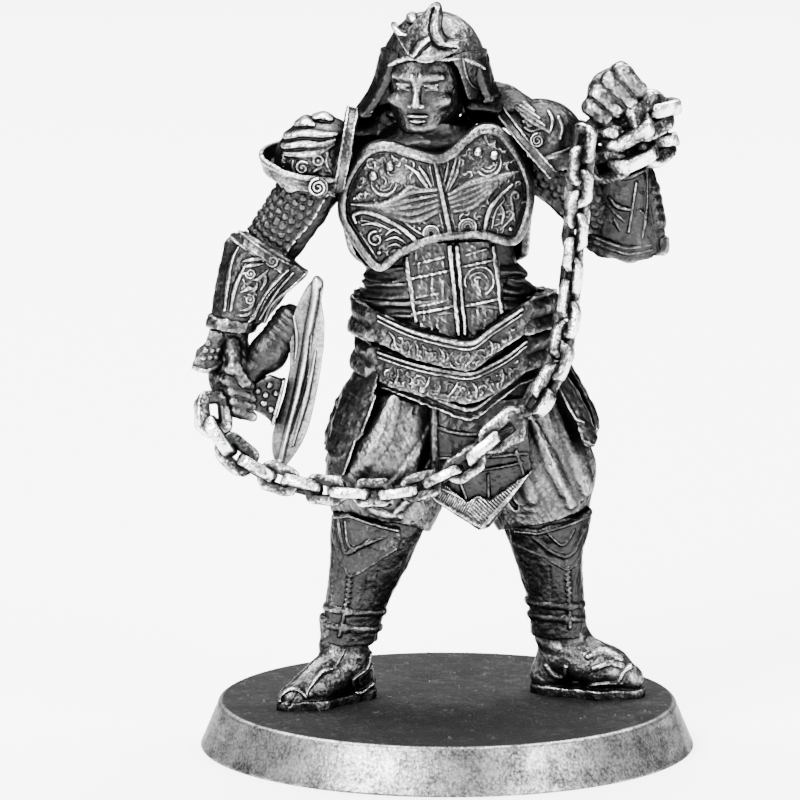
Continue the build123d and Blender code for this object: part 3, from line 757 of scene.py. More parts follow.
@pieces({f"skirt_plate_{tier}": (tier,) for tier in SKIRT_PLATES})
def skirt_plate(tier):
    edge, down, proud, seed = SKIRT_PLATES[tier]
    c = Clay.over(f"skirt_plate_{tier}", 0.9, 0.05)
    x, y, z = c.p
    edge_z = np.interp(x, *zip(*curve(edge, 6)))
    back = np.clip((y + 0.2) / 1.5, 0, 1)
    edge_z = edge_z * (1 - back) + back * (edge[0][1] * 0.5 + edge[-1][1] * 0.5)
    below = (edge_z - z).astype(F32)
    flare = (0.25 * np.clip(below / down, 0, 1.2) ** 2
             + 0.3 * np.clip((0.25 - np.abs(below)) / 0.25, 0, 1) * back)
    crease = 0.22 * np.exp(-((x - 1.1) / 0.7) ** 2)
    c.add(np.abs(SKIRT.distance(c.p, proud - 0.05, ends=False) - flare - crease * (1 - back)) - 0.2)
    c.keep(np.maximum(-below - 0.16, below - (down + 0.1)), 0.08)
    c.draw(skirt_relief(edge, down, seed), front_only(c, 0.3, 1.2))
    # the sides are gathered into soft rolls
    rolls = 0.2 * np.abs(np.sin(below * 3.6 + 0.4)) ** 0.8 * np.clip((np.abs(x - 0.1) - 3.7) / 0.5, 0, 1)
    c.lift((rolls * (down > 1)).astype(F32))
    return c.roughen(0.035, 0.22, seed)


@piece("hips", slot="cloth_metal")
def hips():
    c = Clay.over("hips", 0.4, 0.1)
    pelvis = Limb(((0.4, 0.3, 20.5), 3.8, 2.6), ((0.5, 0.3, 18.8), 4.2, 2.7), ((0.55, 0.3, 17.0), 4.1, 2.6),
                  ((0.55, 0.3, 15.2), 2.6, 2.1), upright=True)
    return c.add(pelvis.distance(c.p)).roughen(0.06, 0.8, 31)


FLAP = [(-0.9, 17.9), (3.9, 18.2), (4.15, 14.6), (2.0, 12.6), (0.9, 12.7), (-0.85, 13.9)]
HEM = [(-0.95, 14.1), (0.0, 13.9), (0.95, 13.1), (1.5, 13.4), (2.1, 13.15), (3.8, 14.4), (4.3, 14.7),
       (2.1, 11.75),
       (1.55, 11.6), (-0.75, 13.1)]


@piece("front_flap", slot="cloth_metal")
def front_flap():
    c = Clay((-1.7, -4.5, 11.8), (5.0, -1.6, 18.6), 0.05)
    x, y, z = c.p
    bow = np.minimum(3.35, 2.75 + 0.3 * (18.2 - z)) - 0.035 * (x - 1.6) ** 2 - 0.05 * (17 - z).clip(0)
    c.add(np.abs(y + bow) - 0.3)
    c.within(FLAP, 0.08)
    r = Relief((-1.6, 11.5), (4.8, 19), 0.025)
    r.stroke([(-0.7, 18.0), (-0.65, 14.0)], 0.2, 0.24, sharp=0.4)
    r.strokes([curve([(-0.5, 16.75), (0.5, 16.5), (1.9, 16.5), (3.9, 17.0)]), [(-0.5, 15.2), (3.9, 15.45)]],
              width=0.12, height=0.15, sharp=0.5)
    r.strokes([[(3.4, 15.6), (3.85, 14.2)], [(2.0, 14.4), (2.05, 13.0)], [(-0.2, 14.3), (3.7, 15.0)],
               [(0.4, 14.6), (0.9, 13.2)]], width=0.1, height=0.15, sharp=0.5)
    c.draw(r)
    return c.dress(lambda x, y, z: 0.05 * noise(x, y, z, 0.45, 32) + 0.03 * noise(x, y, z, 0.18, 34))


@piece("flap_hem")
def flap_hem():
    c = Clay((-1.7, -5.0, 11.0), (5.0, -2.6, 15.4), 0.045)
    x, y, z = c.p
    bow = 3.62 - 0.035 * (x - 1.6) ** 2 - 0.05 * (17 - z).clip(0)
    c.add(np.abs(y + bow) - 0.28)
    c.within(HEM, 0.06)
    r = Relief((-1.6, 11), (4.8, 15.4), 0.025)
    outer, inner = ([(-0.75, 13.2), (1.7, 11.75), (4.2, 14.55)],
                    [(-0.8, 13.95), (0.95, 13.15), (1.5, 13.4), (2.1, 13.2), (4.1, 14.7)])
    r.stroke(outer, 0.15, 0.18, sharp=0.5).stroke(inner, 0.1, 0.14, sharp=0.5)
    for i in range(26):
        s = i / 25
        a = np.array(outer[0]) + (np.array(outer[1]) - outer[0]) * s
        b = np.array(outer[1]) + (np.array(outer[2]) - outer[1]) * s
        r.stroke([a, a + (0.5, 0.9)], 0.05, 0.1).stroke([b, b + (-0.75, 0.75)], 0.06, 0.12)
    inside = outline_distance(x, z, HEM) < -0.06
    c.draw(r, inside)
    return c.roughen(0.02, 0.15, 33)


# ---- head and helmet ----------------------------------------------------------------------------------
HEAD_CENTRE = (-1.05, 0.0, 33.45)
HEAD_TURN = (6, 0, -13)           # bowed, and turned a little to its right
HEAD_SCALE = 1.17


@piece("head", slot="cloth_metal")
def head():
    c = Clay((-3.6, -3.6, 30.3), (1.6, 2.4, 36.3), 0.036)
    p = [q / F32(HEAD_SCALE) for q in local(c.p, HEAD_CENTRE, HEAD_TURN)]
    half = (-np.abs(p[0]), p[1], p[2])                          # both halves of the face at once
    c.add(ellipsoid(p, (0, 0.1, 0.75), (1.75, 2.0, 1.8)))
    c.add(ellipsoid(p, (0, -0.4, -0.45), (1.48, 1.55, 1.55)), 0.35)
    c.add(ellipsoid(p, (0, -1.32, -1.42), (0.75, 0.6, 0.5)), 0.35)
    c.add(capsule(half, (-1.15, 0.1, -0.9), (-0.5, -1.2, -1.62), 0.36, 0.3), 0.4)
    c.add(capsule(c.p, (-0.95, 0.6, 30.4), (-1, 0.3, 32.2), 1.25, 1.3), 0.25)
    # cheek bones, eye sockets and brow
    c.add(ellipsoid(half, (-0.92, -1.45, -0.28), (0.46, 0.32, 0.3)), 0.3)
    c.cut(ellipsoid(half, (-0.62, -2.12, 0.36), (0.46, 0.34, 0.23)), 0.2)
    c.add(capsule(half, (-0.2, -1.9, 0.78), (-1.0, -1.6, 0.76), 0.14, 0.1), 0.3)
    # eyes: a ball between two lids
    c.add(ellipsoid(half, (-0.6, -1.68, 0.36), (0.28, 0.22, 0.17)), 0.02)
    c.add(capsule(half, (-0.34, -1.86, 0.44), (-0.86, -1.76, 0.47), 0.06), 0.04)
    c.add(capsule(half, (-0.36, -1.83, 0.23), (-0.84, -1.74, 0.25), 0.05), 0.05)
    # nose
    c.add(capsule(p, (0, -1.85, 0.55), (0, -2.22, -0.32), 0.13, 0.2), 0.24)
    c.add(ellipsoid(half, (-0.22, -2.1, -0.4), (0.17, 0.18, 0.13)), 0.08)
    # lips
    c.add(ellipsoid(p, (0, -1.92, -0.86), (0.48, 0.22, 0.11)), 0.08)
    c.add(ellipsoid(p, (0, -1.88, -1.08), (0.38, 0.22, 0.12)), 0.08)
    c.cut(capsule(half, (0.0, -2.18, -0.97), (-0.5, -1.98, -0.96), 0.035), 0.03)
    c.cut(ellipsoid(p, (0, -2.0, -1.33), (0.34, 0.13, 0.08)), 0.08)
    c.cut(capsule(half, (-0.4, -2.05, -0.5), (-0.68, -1.85, -0.95), 0.05), 0.1)
    return c.roughen(0.012, 0.2, 41)


def dome(p):
    return ellipsoid(p, (-0.68, 0.2, 34.45), (2.6, 2.8, 2.8))


@piece("helmet_bowl")
def helmet_bowl():
    c = Clay((-4.2, -3.5, 33.6), (2.8, 3.8, 38.0), 0.05)
    x, y, z = c.p
    brim_height = 34.15 + 0.85 * np.clip((-0.6 - y) / 1.6, 0, 1)
    c.add(dome(c.p))
    c.cut(ellipsoid(c.p, (-0.9, 0.0, 33.7), (2.1, 2.3, 2.5)))
    c.keep(brim_height - z, 0.08)
    hem = z - brim_height
    c.lift(F32(0.12) * np.clip(1 - np.abs(hem - 0.12) / 0.16, 0, 1) ** 0.5)
    r = Relief((-4, 33.8), (2.6, 38), 0.03)
    r.stud((-1.85, 36.95), 0.28, 0.26)
    c.draw(r)
    spine = np.clip(1 - np.abs(x + 0.68) / 0.22, 0, 1) ** 0.5 * (y > -0.4)
    c.lift(F32(0.2) * spine)
    return c.dress(lambda x, y, z: 0.035 * noise(x, y, z, 0.5, 42) + 0.014 * noise(x, y, z, 0.15, 43), 0.4)


@piece("brow_crest")
def brow_crest():
    c = Clay((-3.6, -4.2, 34.2), (1.7, -0.2, 38.9), 0.036)
    x, y, z = c.p
    outline = curve([
        (-0.83, 37.75), (-0.42, 37.8), (-0.26, 37.3), (-0.28, 36.6), (0.02, 36.15), (0.55, 36.02),
        (0.62, 35.65),
        (0.2, 35.38), (-0.7, 35.05), (-1.4, 34.98), (-1.92, 35.25), (-2.5, 36.05), (-2.85, 36.6),
        (-2.62, 36.72),
        (-2.15, 36.45), (-1.45, 37.1),
    ], 4, closed=True)
    bend = 0.4 * np.exp(-((x + 0.85) / 0.9) ** 2)
    rise = 0.3 * (z - 36).clip(0)
    c.add(np.abs(dome(c.p) - 0.22 - bend - rise) - 0.2)
    inside = outline_distance(x, z, outline).astype(F32)
    c.keep(inside, 0.07)
    c.keep(y + 0.2 * (37 - z).clip(0), 0.05)
    r = Relief((-3.4, 34.2), (1.5, 38.8), 0.02)
    r.fill([(-0.6, 37.65), (-0.42, 37.65), (-0.36, 37.3), (-0.4, 36.6), (-0.05, 36.05), (0.5, 35.9),
            (0.45, 35.7),
            (0.1, 35.65), (-0.47, 35.85), (-0.82, 36.2), (-0.9, 36.9), (-0.66, 37.4)], 0.26, 0.16)
    r.stroke(curve([(-0.95, 36.15), (-1.41, 35.8), (-1.8, 35.25)]), 0.2, 0.3, taper=(0.8, 1.1, 0.8),
             sharp=0.7)
    r.fill([(-1.35, 35.6), (-0.9, 35.9), (-0.5, 35.62), (0.1, 35.5), (-0.7, 35.2), (-1.5, 35.2)], 0.16,
           0.12)
    r.stroke(curve([(-0.72, 37.6), (-0.95, 36.9), (-0.88, 36.2), (-0.5, 35.78), (0.4, 35.62)]), 0.05, -0.12)
    r.stroke(curve([(-2.75, 36.6), (-2.4, 36.3), (-2.1, 36.25)]), 0.14, 0.2, taper=(0.8, 1.2, 0.4))
    r.stroke(curve([(-2.8, 36.5), (-2.45, 35.9), (-1.9, 35.2)]), 0.07, 0.1)
    c.draw(r, np.clip(-inside / 0.1, 0, 1))
    return c.roughen(0.014, 0.2, 44)


@for_both_sides("{}_cheek_guard")
def cheek_guard(side):
    c = Clay((-3.9, -3.0, 32.0), (2.5, 1.6, 35.8), 0.045)
    x, y, z = c.p
    lean = -1 if side == "right" else 1
    across = lean * (x + 0.75)
    inner = 0.75 if side == "right" else 0.0                   # the far guard is seen almost edge on
    flap = curve([(1.0 + inner, 35.3), (1.25 + inner, 34.5), (1.55 + inner, 33.6), (1.8 + inner, 32.95),
                  (2.4 + inner, 33.1), (2.9, 33.9), (3.0, 35.2)], 6, True)
    shape = Limb(((-0.7, 0.2, 35.2), 2.5, 2.65), ((-0.75, 0.25, 34.0), 2.5, 2.4),
                 ((-0.8, 0.3, 32.6), 2.4, 2.05), upright=True)
    c.add(np.abs(shape.distance(c.p, 0.02, ends=False)) - 0.16)
    c.keep(outline_distance(across, z, flap).astype(F32), 0.06)
    c.keep(y - 0.9, 0.1)
    c.keep(-across, 0.02)
    r = Relief((0.4, 32.4), (3.1, 35.4), 0.025)
    r.stroke(curve([(1.48, 35.1), (1.65, 34.24), (1.95, 33.65), (2.4, 33.46), (2.75, 33.97)]), 0.08, 0.12)
    c.lift(r.at(across, z) * (side == "left"))
    return c.roughen(0.014, 0.2, 45)


@piece("neck_guard")
def neck_guard():
    c = Clay((-5.6, -1.6, 31.0), (4.4, 4.8, 35.8), 0.06)
    x, y, z = c.p
    shape = Limb(((-0.7, 0.35, 35.3), 2.5, 2.75), ((-0.7, 0.5, 34.2), 2.75, 2.85),
                 ((-0.75, 0.7, 33.0), 3.2, 3.0),
                 ((-0.85, 0.95, 31.6), 4.1, 3.3), upright=True)
    c.add(np.abs(shape.distance(c.p, ends=False)) - 0.17)
    low = 31.9 + 0.28 * (x + 0.8).clip(0)
    c.keep(np.maximum(low - z, z - 35.1), 0.08)
    c.keep(-0.95 - y - 0.25 * (z - 33), 0.08)
    c.lift(F32(0.1) * np.clip(1 - np.abs(z - low - 0.15) / 0.14, 0, 1) ** 0.5)
    return c.roughen(0.03, 0.3, 46)


# ---- shoulders and arms -------------------------------------------------------------------------------
UPPER_ARM = {
    "right": Limb(((-6.0, 0.3, 29.7), 1.6, 1.7), ((-7.4, 0.45, 27.5), 1.5, 1.6),
                  ((-8.9, 0.6, 25.4), 1.35, 1.45)),
    "left": Limb(((4.7, 0.8, 29.9), 1.7, 1.7), ((6.9, 1.2, 27.8), 1.6, 1.6), ((8.9, 1.5, 26.3), 1.5, 1.5)),
}
FOREARM = {
    "right": Limb(((-9.1, 0.55, 25.2), 1.75, 1.7), ((-9.9, 0.1, 23.4), 1.75, 1.65),
                  ((-10.9, -0.65, 21.5), 1.05, 1.1)),
    "left": Limb(((8.9, 1.4, 25.2), 1.95, 1.8), ((8.85, 1.0, 27.3), 1.7, 1.6),
                 ((8.75, 0.3, 29.9), 1.15, 1.15)),
}


def scales(along, across, pitch=0.5, height=0.17, seed=0):
    """Staggered rows of small domes of uneven height."""
    row = np.floor(along / pitch)
    shifted = across / pitch + 0.5 * (row % 2)
    column = np.floor(shifted)
    a, b = shifted - column - 0.5, along / pitch - row - 0.5
    uneven = 0.6 + 0.4 * lattice(row.astype(np.int64), column.astype(np.int64), 0, seed)
    return F32(height) * uneven * (1 - 4.2 * (a * a + b * b)).clip(0) ** 0.5


@for_both_sides("{}_upper_arm", slot="cloth_metal")
def upper_arm(side):
    limb = UPPER_ARM[side]
    lean = 1 if side == "right" else -1
    seam = -30 if side == "right" else -48                      # where the scales stop and the cloth begins
    c = Clay.over(f"{side}_upper_arm", 0.5, 0.055)
    c.add(limb.distance(c.p, -0.02))

    def sleeve(x, y, z):
        w, angle = limb.around((x, y, z))
        angle = angle * lean + 5 * noise(x, y, z, 1.2, 50)
        piping = 0.2 * np.exp(-(((angle - seam) / 4.5) ** 2))
        folds = 0.12 * np.sin(angle * 0.11 + w * 0.8) + 0.06 * noise(x, y, z, 0.6, 51)
        bumpy = scales(w + 0.12 * noise(x, y, z, 0.5, 52), np.radians(angle) * 1.5, 0.44, 0.16, 51)
        return np.where(angle > seam, bumpy, folds) + piping + 0.02 * noise(x, y, z, 0.15, 53)
    return c.dress(sleeve)


@piece("right_pauldron")
def right_pauldron():
    c = Clay((-10.2, -3.6, 27.8), (-3.9, 4.2, 33.3), 0.055)
    x, y, z = c.p
    body = ellipsoid(c.p, (-6.35, 0.35, 29.5), (2.35, 2.45, 2.45))
    inner_side = (x + 5.0) * 0.98 - (z - 31) * 0.17
    c.add(body).keep(inner_side, 0.05)
    r = Relief((-9.2, 28), (-4.5, 32.6), 0.025)
    r.curves([
        [(-8.1, 31.0), (-7.2, 31.25), (-6.2, 31.2), (-5.5, 31.2)],
        [(-8.2, 30.55), (-7.2, 30.75), (-6.3, 30.75), (-5.6, 30.95)],
        [(-8.1, 30.2), (-7.2, 30.25), (-6.4, 30.4), (-5.65, 30.75)],
    ], width=0.24, height=0.24, taper=(0.7, 1.1, 0.5), sharp=0.9)
    r.curves([[(-7.6, 31.6), (-7.15, 31.75), (-6.7, 31.65)], [(-6.7, 31.95), (-6.2, 32.05), (-5.8, 31.85)]],
             width=0.25, height=0.26, taper=(0.5, 1.1, 0.5))
    r.rosette((-7.25, 29.6), 0.36, 0.22, 40)
    r.stroke(arc((-6.45, 30.0), 0.24, 0, 360), 0.1, 0.2).stud((-6.45, 30.0), 0.12, 0.2)
    r.curves([[(-6.2, 29.7), (-6.5, 29.55), (-6.9, 29.3)], [(-5.95, 30.3), (-6.05, 29.9), (-5.9, 29.5)],
              [(-7.7, 30.0), (-7.75, 29.5), (-7.5, 29.15)]], width=0.11, height=0.18, taper=(0.5, 1.2, 0.5))
    r.stud((-6.0, 30.35), 0.13, 0.2)
    r.filigree([(-8.6, 30.4), (-5.6, 30.6), (-5.5, 29.0), (-8.4, 28.9)], 160, 52)
    c.draw(r)
    c.add(flange(c.p, (-5.2, 0.35, 29.75), 2.62, (0, 10, 0), 0.3))
    gutter = brim(c.p, (-6.75, 0.3, 29.35), 2.5, (12, 8, 0))
    c.add(overlap(gutter, x + 5.55 - 0.3 * (z - 29), 0.05))
    c.cut(ellipsoid(c.p, (-6.35, 0.35, 28.4), (2.1, 2.1, 2.0)))
    return c.dress(lambda x, y, z: 0.03 * noise(x, y, z, 0.3, 52) + 0.05 * noise(x, y, z, 0.8, 49))


def flange(p, centre, radius, turn, half_width):
    """A hoop about its own X axis, flat on the outside, with a raised edge."""
    x, y, z = local(p, centre, turn)
    rho = np.hypot(y, z)
    outer = rho - radius - 0.07 * (np.abs(x) > half_width * 0.6)
    hoop = overlap(np.maximum(outer, radius - 0.55 - rho), np.abs(x) - half_width, 0.07)
    return overlap(hoop, -z - 0.55 * radius, 0.1)


def brim(p, centre, radius, turn, tall=0.32):
    """A gutter round the foot of a shoulder plate: a floor and a wall that flares out."""
    x, y, z = local(p, centre, turn)
    rho = np.hypot(x, y)
    wall = overlap(np.abs(rho - radius - 0.5 * z) - 0.15, np.abs(z) - tall, 0.08)
    floor = np.maximum(np.abs(z + tall) - 0.14, rho - radius)
    lip = np.hypot(rho - radius - 0.5 * tall, z - tall) - 0.14
    return union(union(wall, floor, 0.1), lip, 0.06)


@piece("left_pauldron")
def left_pauldron():
    c = Clay((1.2, -2.9, 28.4), (7.6, 4.2, 33.7), 0.055)
    x, y, z = c.p
    c.add(ellipsoid(c.p, (4.6, 0.9, 30.45), (2.35, 2.45, 2.3)))
    c.keep(-((x - 3.1) * 0.75 + (z - 31.6) * 0.66), 0.05)
    r = Relief((1.4, 28.6), (7.4, 33.5), 0.025)
    r.strokes([curve([(2.9, 32.75 - 0.02 * i), (3.6 + 0.1 * i, 32.75 - 0.26 * i),
                      (4.3 + 0.25 * i, 32.3 - 0.33 * i)])
               for i in range(4)], width=0.18, height=0.22, taper=(0.6, 1.1, 0.5), sharp=0.9)
    r.scroll((4.6, 31.9), (4.1, 31.75), 0.22, 0.1, 0.16).stud((3.75, 31.8), 0.13, 0.18)
    r.stroke(curve([(5.0, 32.3), (5.2, 31.9), (5.1, 31.4)]), 0.14, 0.2, (0.5, 1.2, 0.5))
    r.curves([[(5.5, 32.0), (5.7, 31.5), (5.6, 31.0)], [(3.8, 31.5), (4.2, 31.35), (4.6, 31.5)]],
             width=0.11, height=0.16)
    c.draw(r)
    c.add(flange(c.p, (4.3, 0.9, 30.25), 2.72, (0, -41, 0), 0.28))
    gutter = brim(c.p, (4.85, 0.9, 30.35), 2.4, (12, -14, 0), 0.26)
    c.add(overlap(gutter, 4.2 - x, 0.05))
    c.cut(ellipsoid(c.p, (4.6, 0.9, 29.4), (2.1, 2.1, 2.0)))
    return c.roughen(0.014, 0.2, 53)


# Bosses: the middle of the face, and the radius.
BOSSES = {"right": ((-6.46, -2.75, 28.72), 0.52), "left": ((4.42, -1.75, 30.95), 0.4)}


@for_both_sides("{}_pauldron_boss")
def pauldron_boss(side):
    (bx, by, bz), radius = BOSSES[side]
    c = Clay((bx - 0.9, by - 0.6, bz - 0.9), (bx + 0.9, by + 0.9, bz + 0.9), 0.03)
    x, y, z = c.p
    disc = overlap(np.hypot(x - bx, z - bz) - radius, np.maximum(by - y, y - by - 0.75), 0.12)
    c.add(disc.astype(F32))
    r = Relief((bx - 0.8, bz - 0.8), (bx + 0.8, bz + 0.8), 0.02)
    r.stroke(spiral((bx, bz), radius * 0.86, 2, 90, 0.08), radius * 0.16, 0.16, sharp=0.6)
    return c.draw(r).roughen(0.01, 0.15, 54)


@piece("right_elbow_band")
def right_elbow_band():
    c = Clay((-11.2, -2.2, 23.0), (-6.6, 3.0, 27.0), 0.045)
    x, y, z = c.p
    body = union(FOREARM["right"].distance(c.p, 0.2), UPPER_ARM["right"].distance(c.p, 0.3), 0.4)
    c.add(body)
    across = (x + 9.2) * 0.545 + (z - 25.2) * 0.838 + 0.08 * y
    c.keep(np.abs(across) - 0.36, 0.08)
    r = Relief((-11, 23.2), (-6.8, 26.8), 0.025)
    r.strokes([[(-10.7, 26.4), (-7.5, 24.35)], [(-10.85, 25.85), (-7.7, 23.8)]], width=0.07, height=0.08,
              sharp=0.5)
    r.rosette((-8.75, 24.85), 0.3, 0.12, 200)
    return c.draw(r, front_only(c, 0.4)).roughen(0.02, 0.2, 55)


@piece("right_vambrace")
def right_vambrace():
    c = Clay((-12.4, -2.6, 21.0), (-6.2, 3.0, 26.2), 0.045)
    x, y, z = c.p
    c.add(FOREARM["right"].distance(c.p, 0.02))
    wing = curve([(-8.6, 24.9), (-7.05, 24.15), (-7.75, 23.5), (-8.65, 22.7), (-9.2, 21.7), (-10.2, 21.9),
                  (-10, 24.5)], 3, True)
    slab = np.abs(y + 0.35 - 0.25 * (x + 8)) - 0.5
    c.add(overlap(outline_distance(x, z, wing).astype(F32), slab, 0.15), 0.2)
    c.add(capsule(c.p, (-10.65, 0.3, 25.3), (-11.35, -0.5, 22.3), 0.6, 0.42), 0.15)
    r = Relief((-12.2, 21), (-6.4, 26), 0.02)
    r.curves([[(-10.45, 25.5), (-10.85, 24.6), (-11.15, 22.4)],
              [(-10.1, 24.7), (-10.6, 23.6), (-10.85, 22.4)]],
             width=0.13, height=0.18, taper=(0.5, 1.2, 0.7))
    # pointed leaves and two curls on the middle field
    r.curves([
        [(-10.3, 24.8), (-9.6, 24.95), (-8.9, 24.9)], [(-10.3, 24.55), (-9.7, 24.65), (-9.1, 24.75)],
        [(-9.9, 23.9), (-9.4, 24.0), (-8.9, 24.5)], [(-9.2, 24.4), (-9.1, 23.9), (-9.35, 23.4)],
        [(-9.5, 23.9), (-9.6, 23.5), (-10.0, 23.2)], [(-10.4, 22.4), (-9.9, 22.5), (-9.6, 23.0)],
        [(-10.5, 22.15), (-10.0, 22.2), (-9.7, 22.5)], [(-10.35, 23.3), (-9.9, 23.5), (-9.5, 23.4)],
    ], width=0.13, height=0.18, taper=(0.2, 1.3, 0.3))
    r.rosette((-9.85, 24.25), 0.26, 0.18, 200).rosette((-9.9, 22.95), 0.26, 0.18, 100, -1)
    r.filigree([(-10.4, 24.9), (-8.9, 24.9), (-9.6, 22.2), (-10.6, 22.0)], 60, 56)
    piping = curve([(-8.1, 24.25), (-8.8, 23.5), (-9.8, 21.9)], 10)
    r.stroke(piping, 0.2, 0.18, sharp=0.5).strokes([[p - (0.16, 0.1), p + (0.16, 0.1)] for p in piping],
                                                   width=0.055, height=0.25)
    r.stroke(curve([(-7.75, 24.15), (-8.5, 23.3), (-9.4, 21.9)]), 0.09, 0.15, sharp=0.5)
    r.stroke(curve([(-7.1, 24.1), (-7.74, 23.5), (-8.7, 22.7), (-9.15, 21.75)]), 0.11, 0.16, sharp=0.5)
    r.stroke(curve([(-8.2, 24.0), (-9.05, 23.1), (-9.6, 21.9)]), 0.05, -0.16)
    return c.draw(r).roughen(0.03, 0.22, 56)


@piece("right_wrist_band")
def right_wrist_band():
    c = Clay((-12.8, -2.6, 20.2), (-9.0, 1.2, 23.0), 0.04)
    x, y, z = c.p
    limb = Limb(((-10.45, -0.4, 22.6), 1.35, 1.35), ((-11.2, -0.9, 20.6), 1.2, 1.2))
    across = (z - 21.6) * 0.98 + (x + 10.8) * 0.14
    c.add(overlap(limb.distance(c.p), np.abs(across) - 0.33, 0.16))
    return c.roughen(0.03, 0.25, 57)


@piece("right_cuff")
def right_cuff():
    c = Clay((-13.2, -2.9, 18.7), (-9.6, 1.6, 21.9), 0.045)
    x, y, z = c.p
    flap = [(-11.9, 21.4), (-12.05, 20.7), (-12.6, 20.2), (-12.75, 19.45), (-12.0, 19.3), (-11.1, 19.8),
            (-10.7, 20.5),
            (-10.5, 21.3)]
    bowed = y + 0.95 - 0.55 * (x + 12) ** 2
    c.add(overlap(outline_distance(x, z, flap).astype(F32), np.abs(bowed + 0.35) - 0.95, 0.15))
    r = Relief((-13, 18.8), (-10, 21.8), 0.025)
    r.stroke([(-12.7, 19.5), (-12.0, 19.42), (-11.1, 19.85), (-10.75, 20.5)], 0.14, 0.16, sharp=0.5)
    for i in range(7):
        r.stud((-12.2 + 0.34 * (i % 3) + 0.12 * (i // 3), 20.1 + 0.36 * (i // 3)), 0.16, 0.12)
    return c.draw(r).roughen(0.03, 0.2, 58)


@piece("right_hand", slot="cloth_metal")
def right_hand():
    c = Clay((-12.6, -3.7, 16.6), (-8.4, 1.4, 21.9), 0.042)
    p = c.p
    c.add(capsule(p, (-10.95, -0.8, 21.4), (-10.85, -1.1, 20.0), 0.95, 0.95))
    c.add(ellipsoid(p, (-10.7, -1.0, 18.9), (1.3, 1.35, 1.45)), 0.3)
    c.add(capsule(p, (-10.75, -1.9, 20.7), (-10.7, -2.55, 19.6), 0.42, 0.44), 0.2)
    c.add(capsule(p, (-10.65, -2.55, 19.6), (-10.05, -2.7, 18.9), 0.42, 0.3), 0.1)
    for i in range(4):
        drop = 0.5 * i
        knuckle = (-11.55 + 0.16 * i, -1.45, 19.2 - drop)
        middle = (-10.9 + 0.12 * i, -2.45, 18.95 - drop)
        tip = (-9.85 + 0.02 * i, -2.2, 18.65 - drop)
        c.add(capsule(p, knuckle, middle, 0.38, 0.33), 0.08)
        c.add(capsule(p, middle, tip, 0.34, 0.28), 0.06)
    return c.dress(lambda x, y, z: 0.05 * noise(x, y, z, 0.4, 59) + 0.03 * noise(x, y, z, 0.16, 60))


@piece("sickle_handle", slot="cloth_metal")
def sickle_handle():
    c = Clay((-11.4, -3.2, 16.9), (-6.5, 0.6, 23.1), 0.042)
    grip, head = np.array((-10.7, -1.7, 18.2)), np.array((-7.9, -0.95, 21.7))
    c.add(capsule(c.p, grip, head, 0.55, 0.9))
    c.add(ellipsoid(c.p, (-8.95, -1.25, 20.2), (0.95, 0.9, 1.0)), 0.4)
    axis = (head - grip) / np.linalg.norm(head - grip)

    def cord(x, y, z):
        w = (x - grip[0]) * axis[0] + (y - grip[1]) * axis[1] + (z - grip[2]) * axis[2]
        wound = 0.05 * np.abs(np.sin(w * 8.5 + 0.6 * (x + 9))) * np.clip((w - 2.9) * 1.5, 0, 1)
        return wound + 0.03 * noise(x, y, z, 0.3, 60)
    return c.dress(cord)


@piece("sickle_guard")
def sickle_guard():
    c = Clay((-11.2, -3.0, 16.0), (-7.6, -0.8, 19.6), 0.04)
    x, y, z = c.p
    outline = [(-10.4, 17.8), (-9.35, 17.3), (-8.75, 16.75), (-8.2, 18.9), (-8.9, 19.2), (-9.8, 18.7)]
    c.add(overlap(outline_distance(x, z, outline).astype(F32), np.abs(y + 1.9) - 0.3, 0.08))
    r = Relief((-11, 16), (-7.8, 19.6), 0.02)
    r.stroke([(-8.75, 16.75), (-8.2, 18.9)], 0.12, 0.22, sharp=0.5)
    for i, spot in enumerate([(-8.9, 18.7), (-8.6, 18.3), (-9.1, 18.2), (-9.5, 18.4), (-9.2, 17.8),
                              (-8.85, 17.5), (-9.7, 18.0)]):
        r.stud(spot, 0.2, 0.2 + 0.03 * (i % 2))
    return c.draw(r).roughen(0.05, 0.25, 61)


@piece("sickle_blade", slot="blade_metal")
def sickle_blade():
    c = Clay((-9.3, -2.6, 14.2), (-5.8, -0.5, 24.4), 0.035)
    x, y, z = c.p
    outline = curve([(-6.55, 24.05), (-6.2, 23.75), (-6.3, 22.9), (-6.15, 21.4), (-6.35, 19.4),
                     (-6.85, 16.9), (-7.4, 15.5),
                     (-8.3, 14.45), (-8.8, 15.2), (-8.7, 16.5), (-8.2, 18.1), (-7.9, 19.7), (-7.9, 21.4),
                     (-7.55, 22.6), (-7.0, 23.6)], 5, closed=True)
    edge = outline_distance(x, z, outline).astype(F32)
    ridge = curve([(-6.55, 24.0), (-6.65, 22.9), (-6.95, 21.4), (-7.15, 20.0), (-7.5, 18.3), (-7.95, 16.6),
                   (-8.35, 14.9)], 6)
    away, _ = line_distance(x, z, ridge)
    half = 0.5 - 0.42 * np.clip(away / 0.95, 0, 1)
    c.add(overlap(edge, np.abs(y + 1.62) - half.astype(F32), 0.04))
    r = Relief((-9.2, 14.2), (-5.9, 24.3), 0.02)
    r.stroke(ridge, 0.26, 0.16, taper=(0.9, 1, 0.6), sharp=0.8)
    r.stroke(curve([(-6.6, 20.4), (-6.85, 19.0), (-7.2, 17.5), (-7.75, 15.6)]), 0.14, 0.1,
             taper=(0.3, 1.2, 0.4))
    r.stroke(curve([(-7.7, 22.1), (-7.55, 21.0), (-7.65, 19.8)]), 0.1, 0.12, taper=(0.6, 1.2, 0.2))
    r.stroke(curve([(-6.85, 21.2), (-7.02, 19.6), (-7.35, 18.0), (-7.85, 16.2)]), 0.09, -0.12,
             taper=(0.4, 1.2, 0.4))
    r.stud((-6.5, 23.8), 0.3, 0.16)
    return c.draw(r, y < -1.5).roughen(0.015, 0.5, 62)


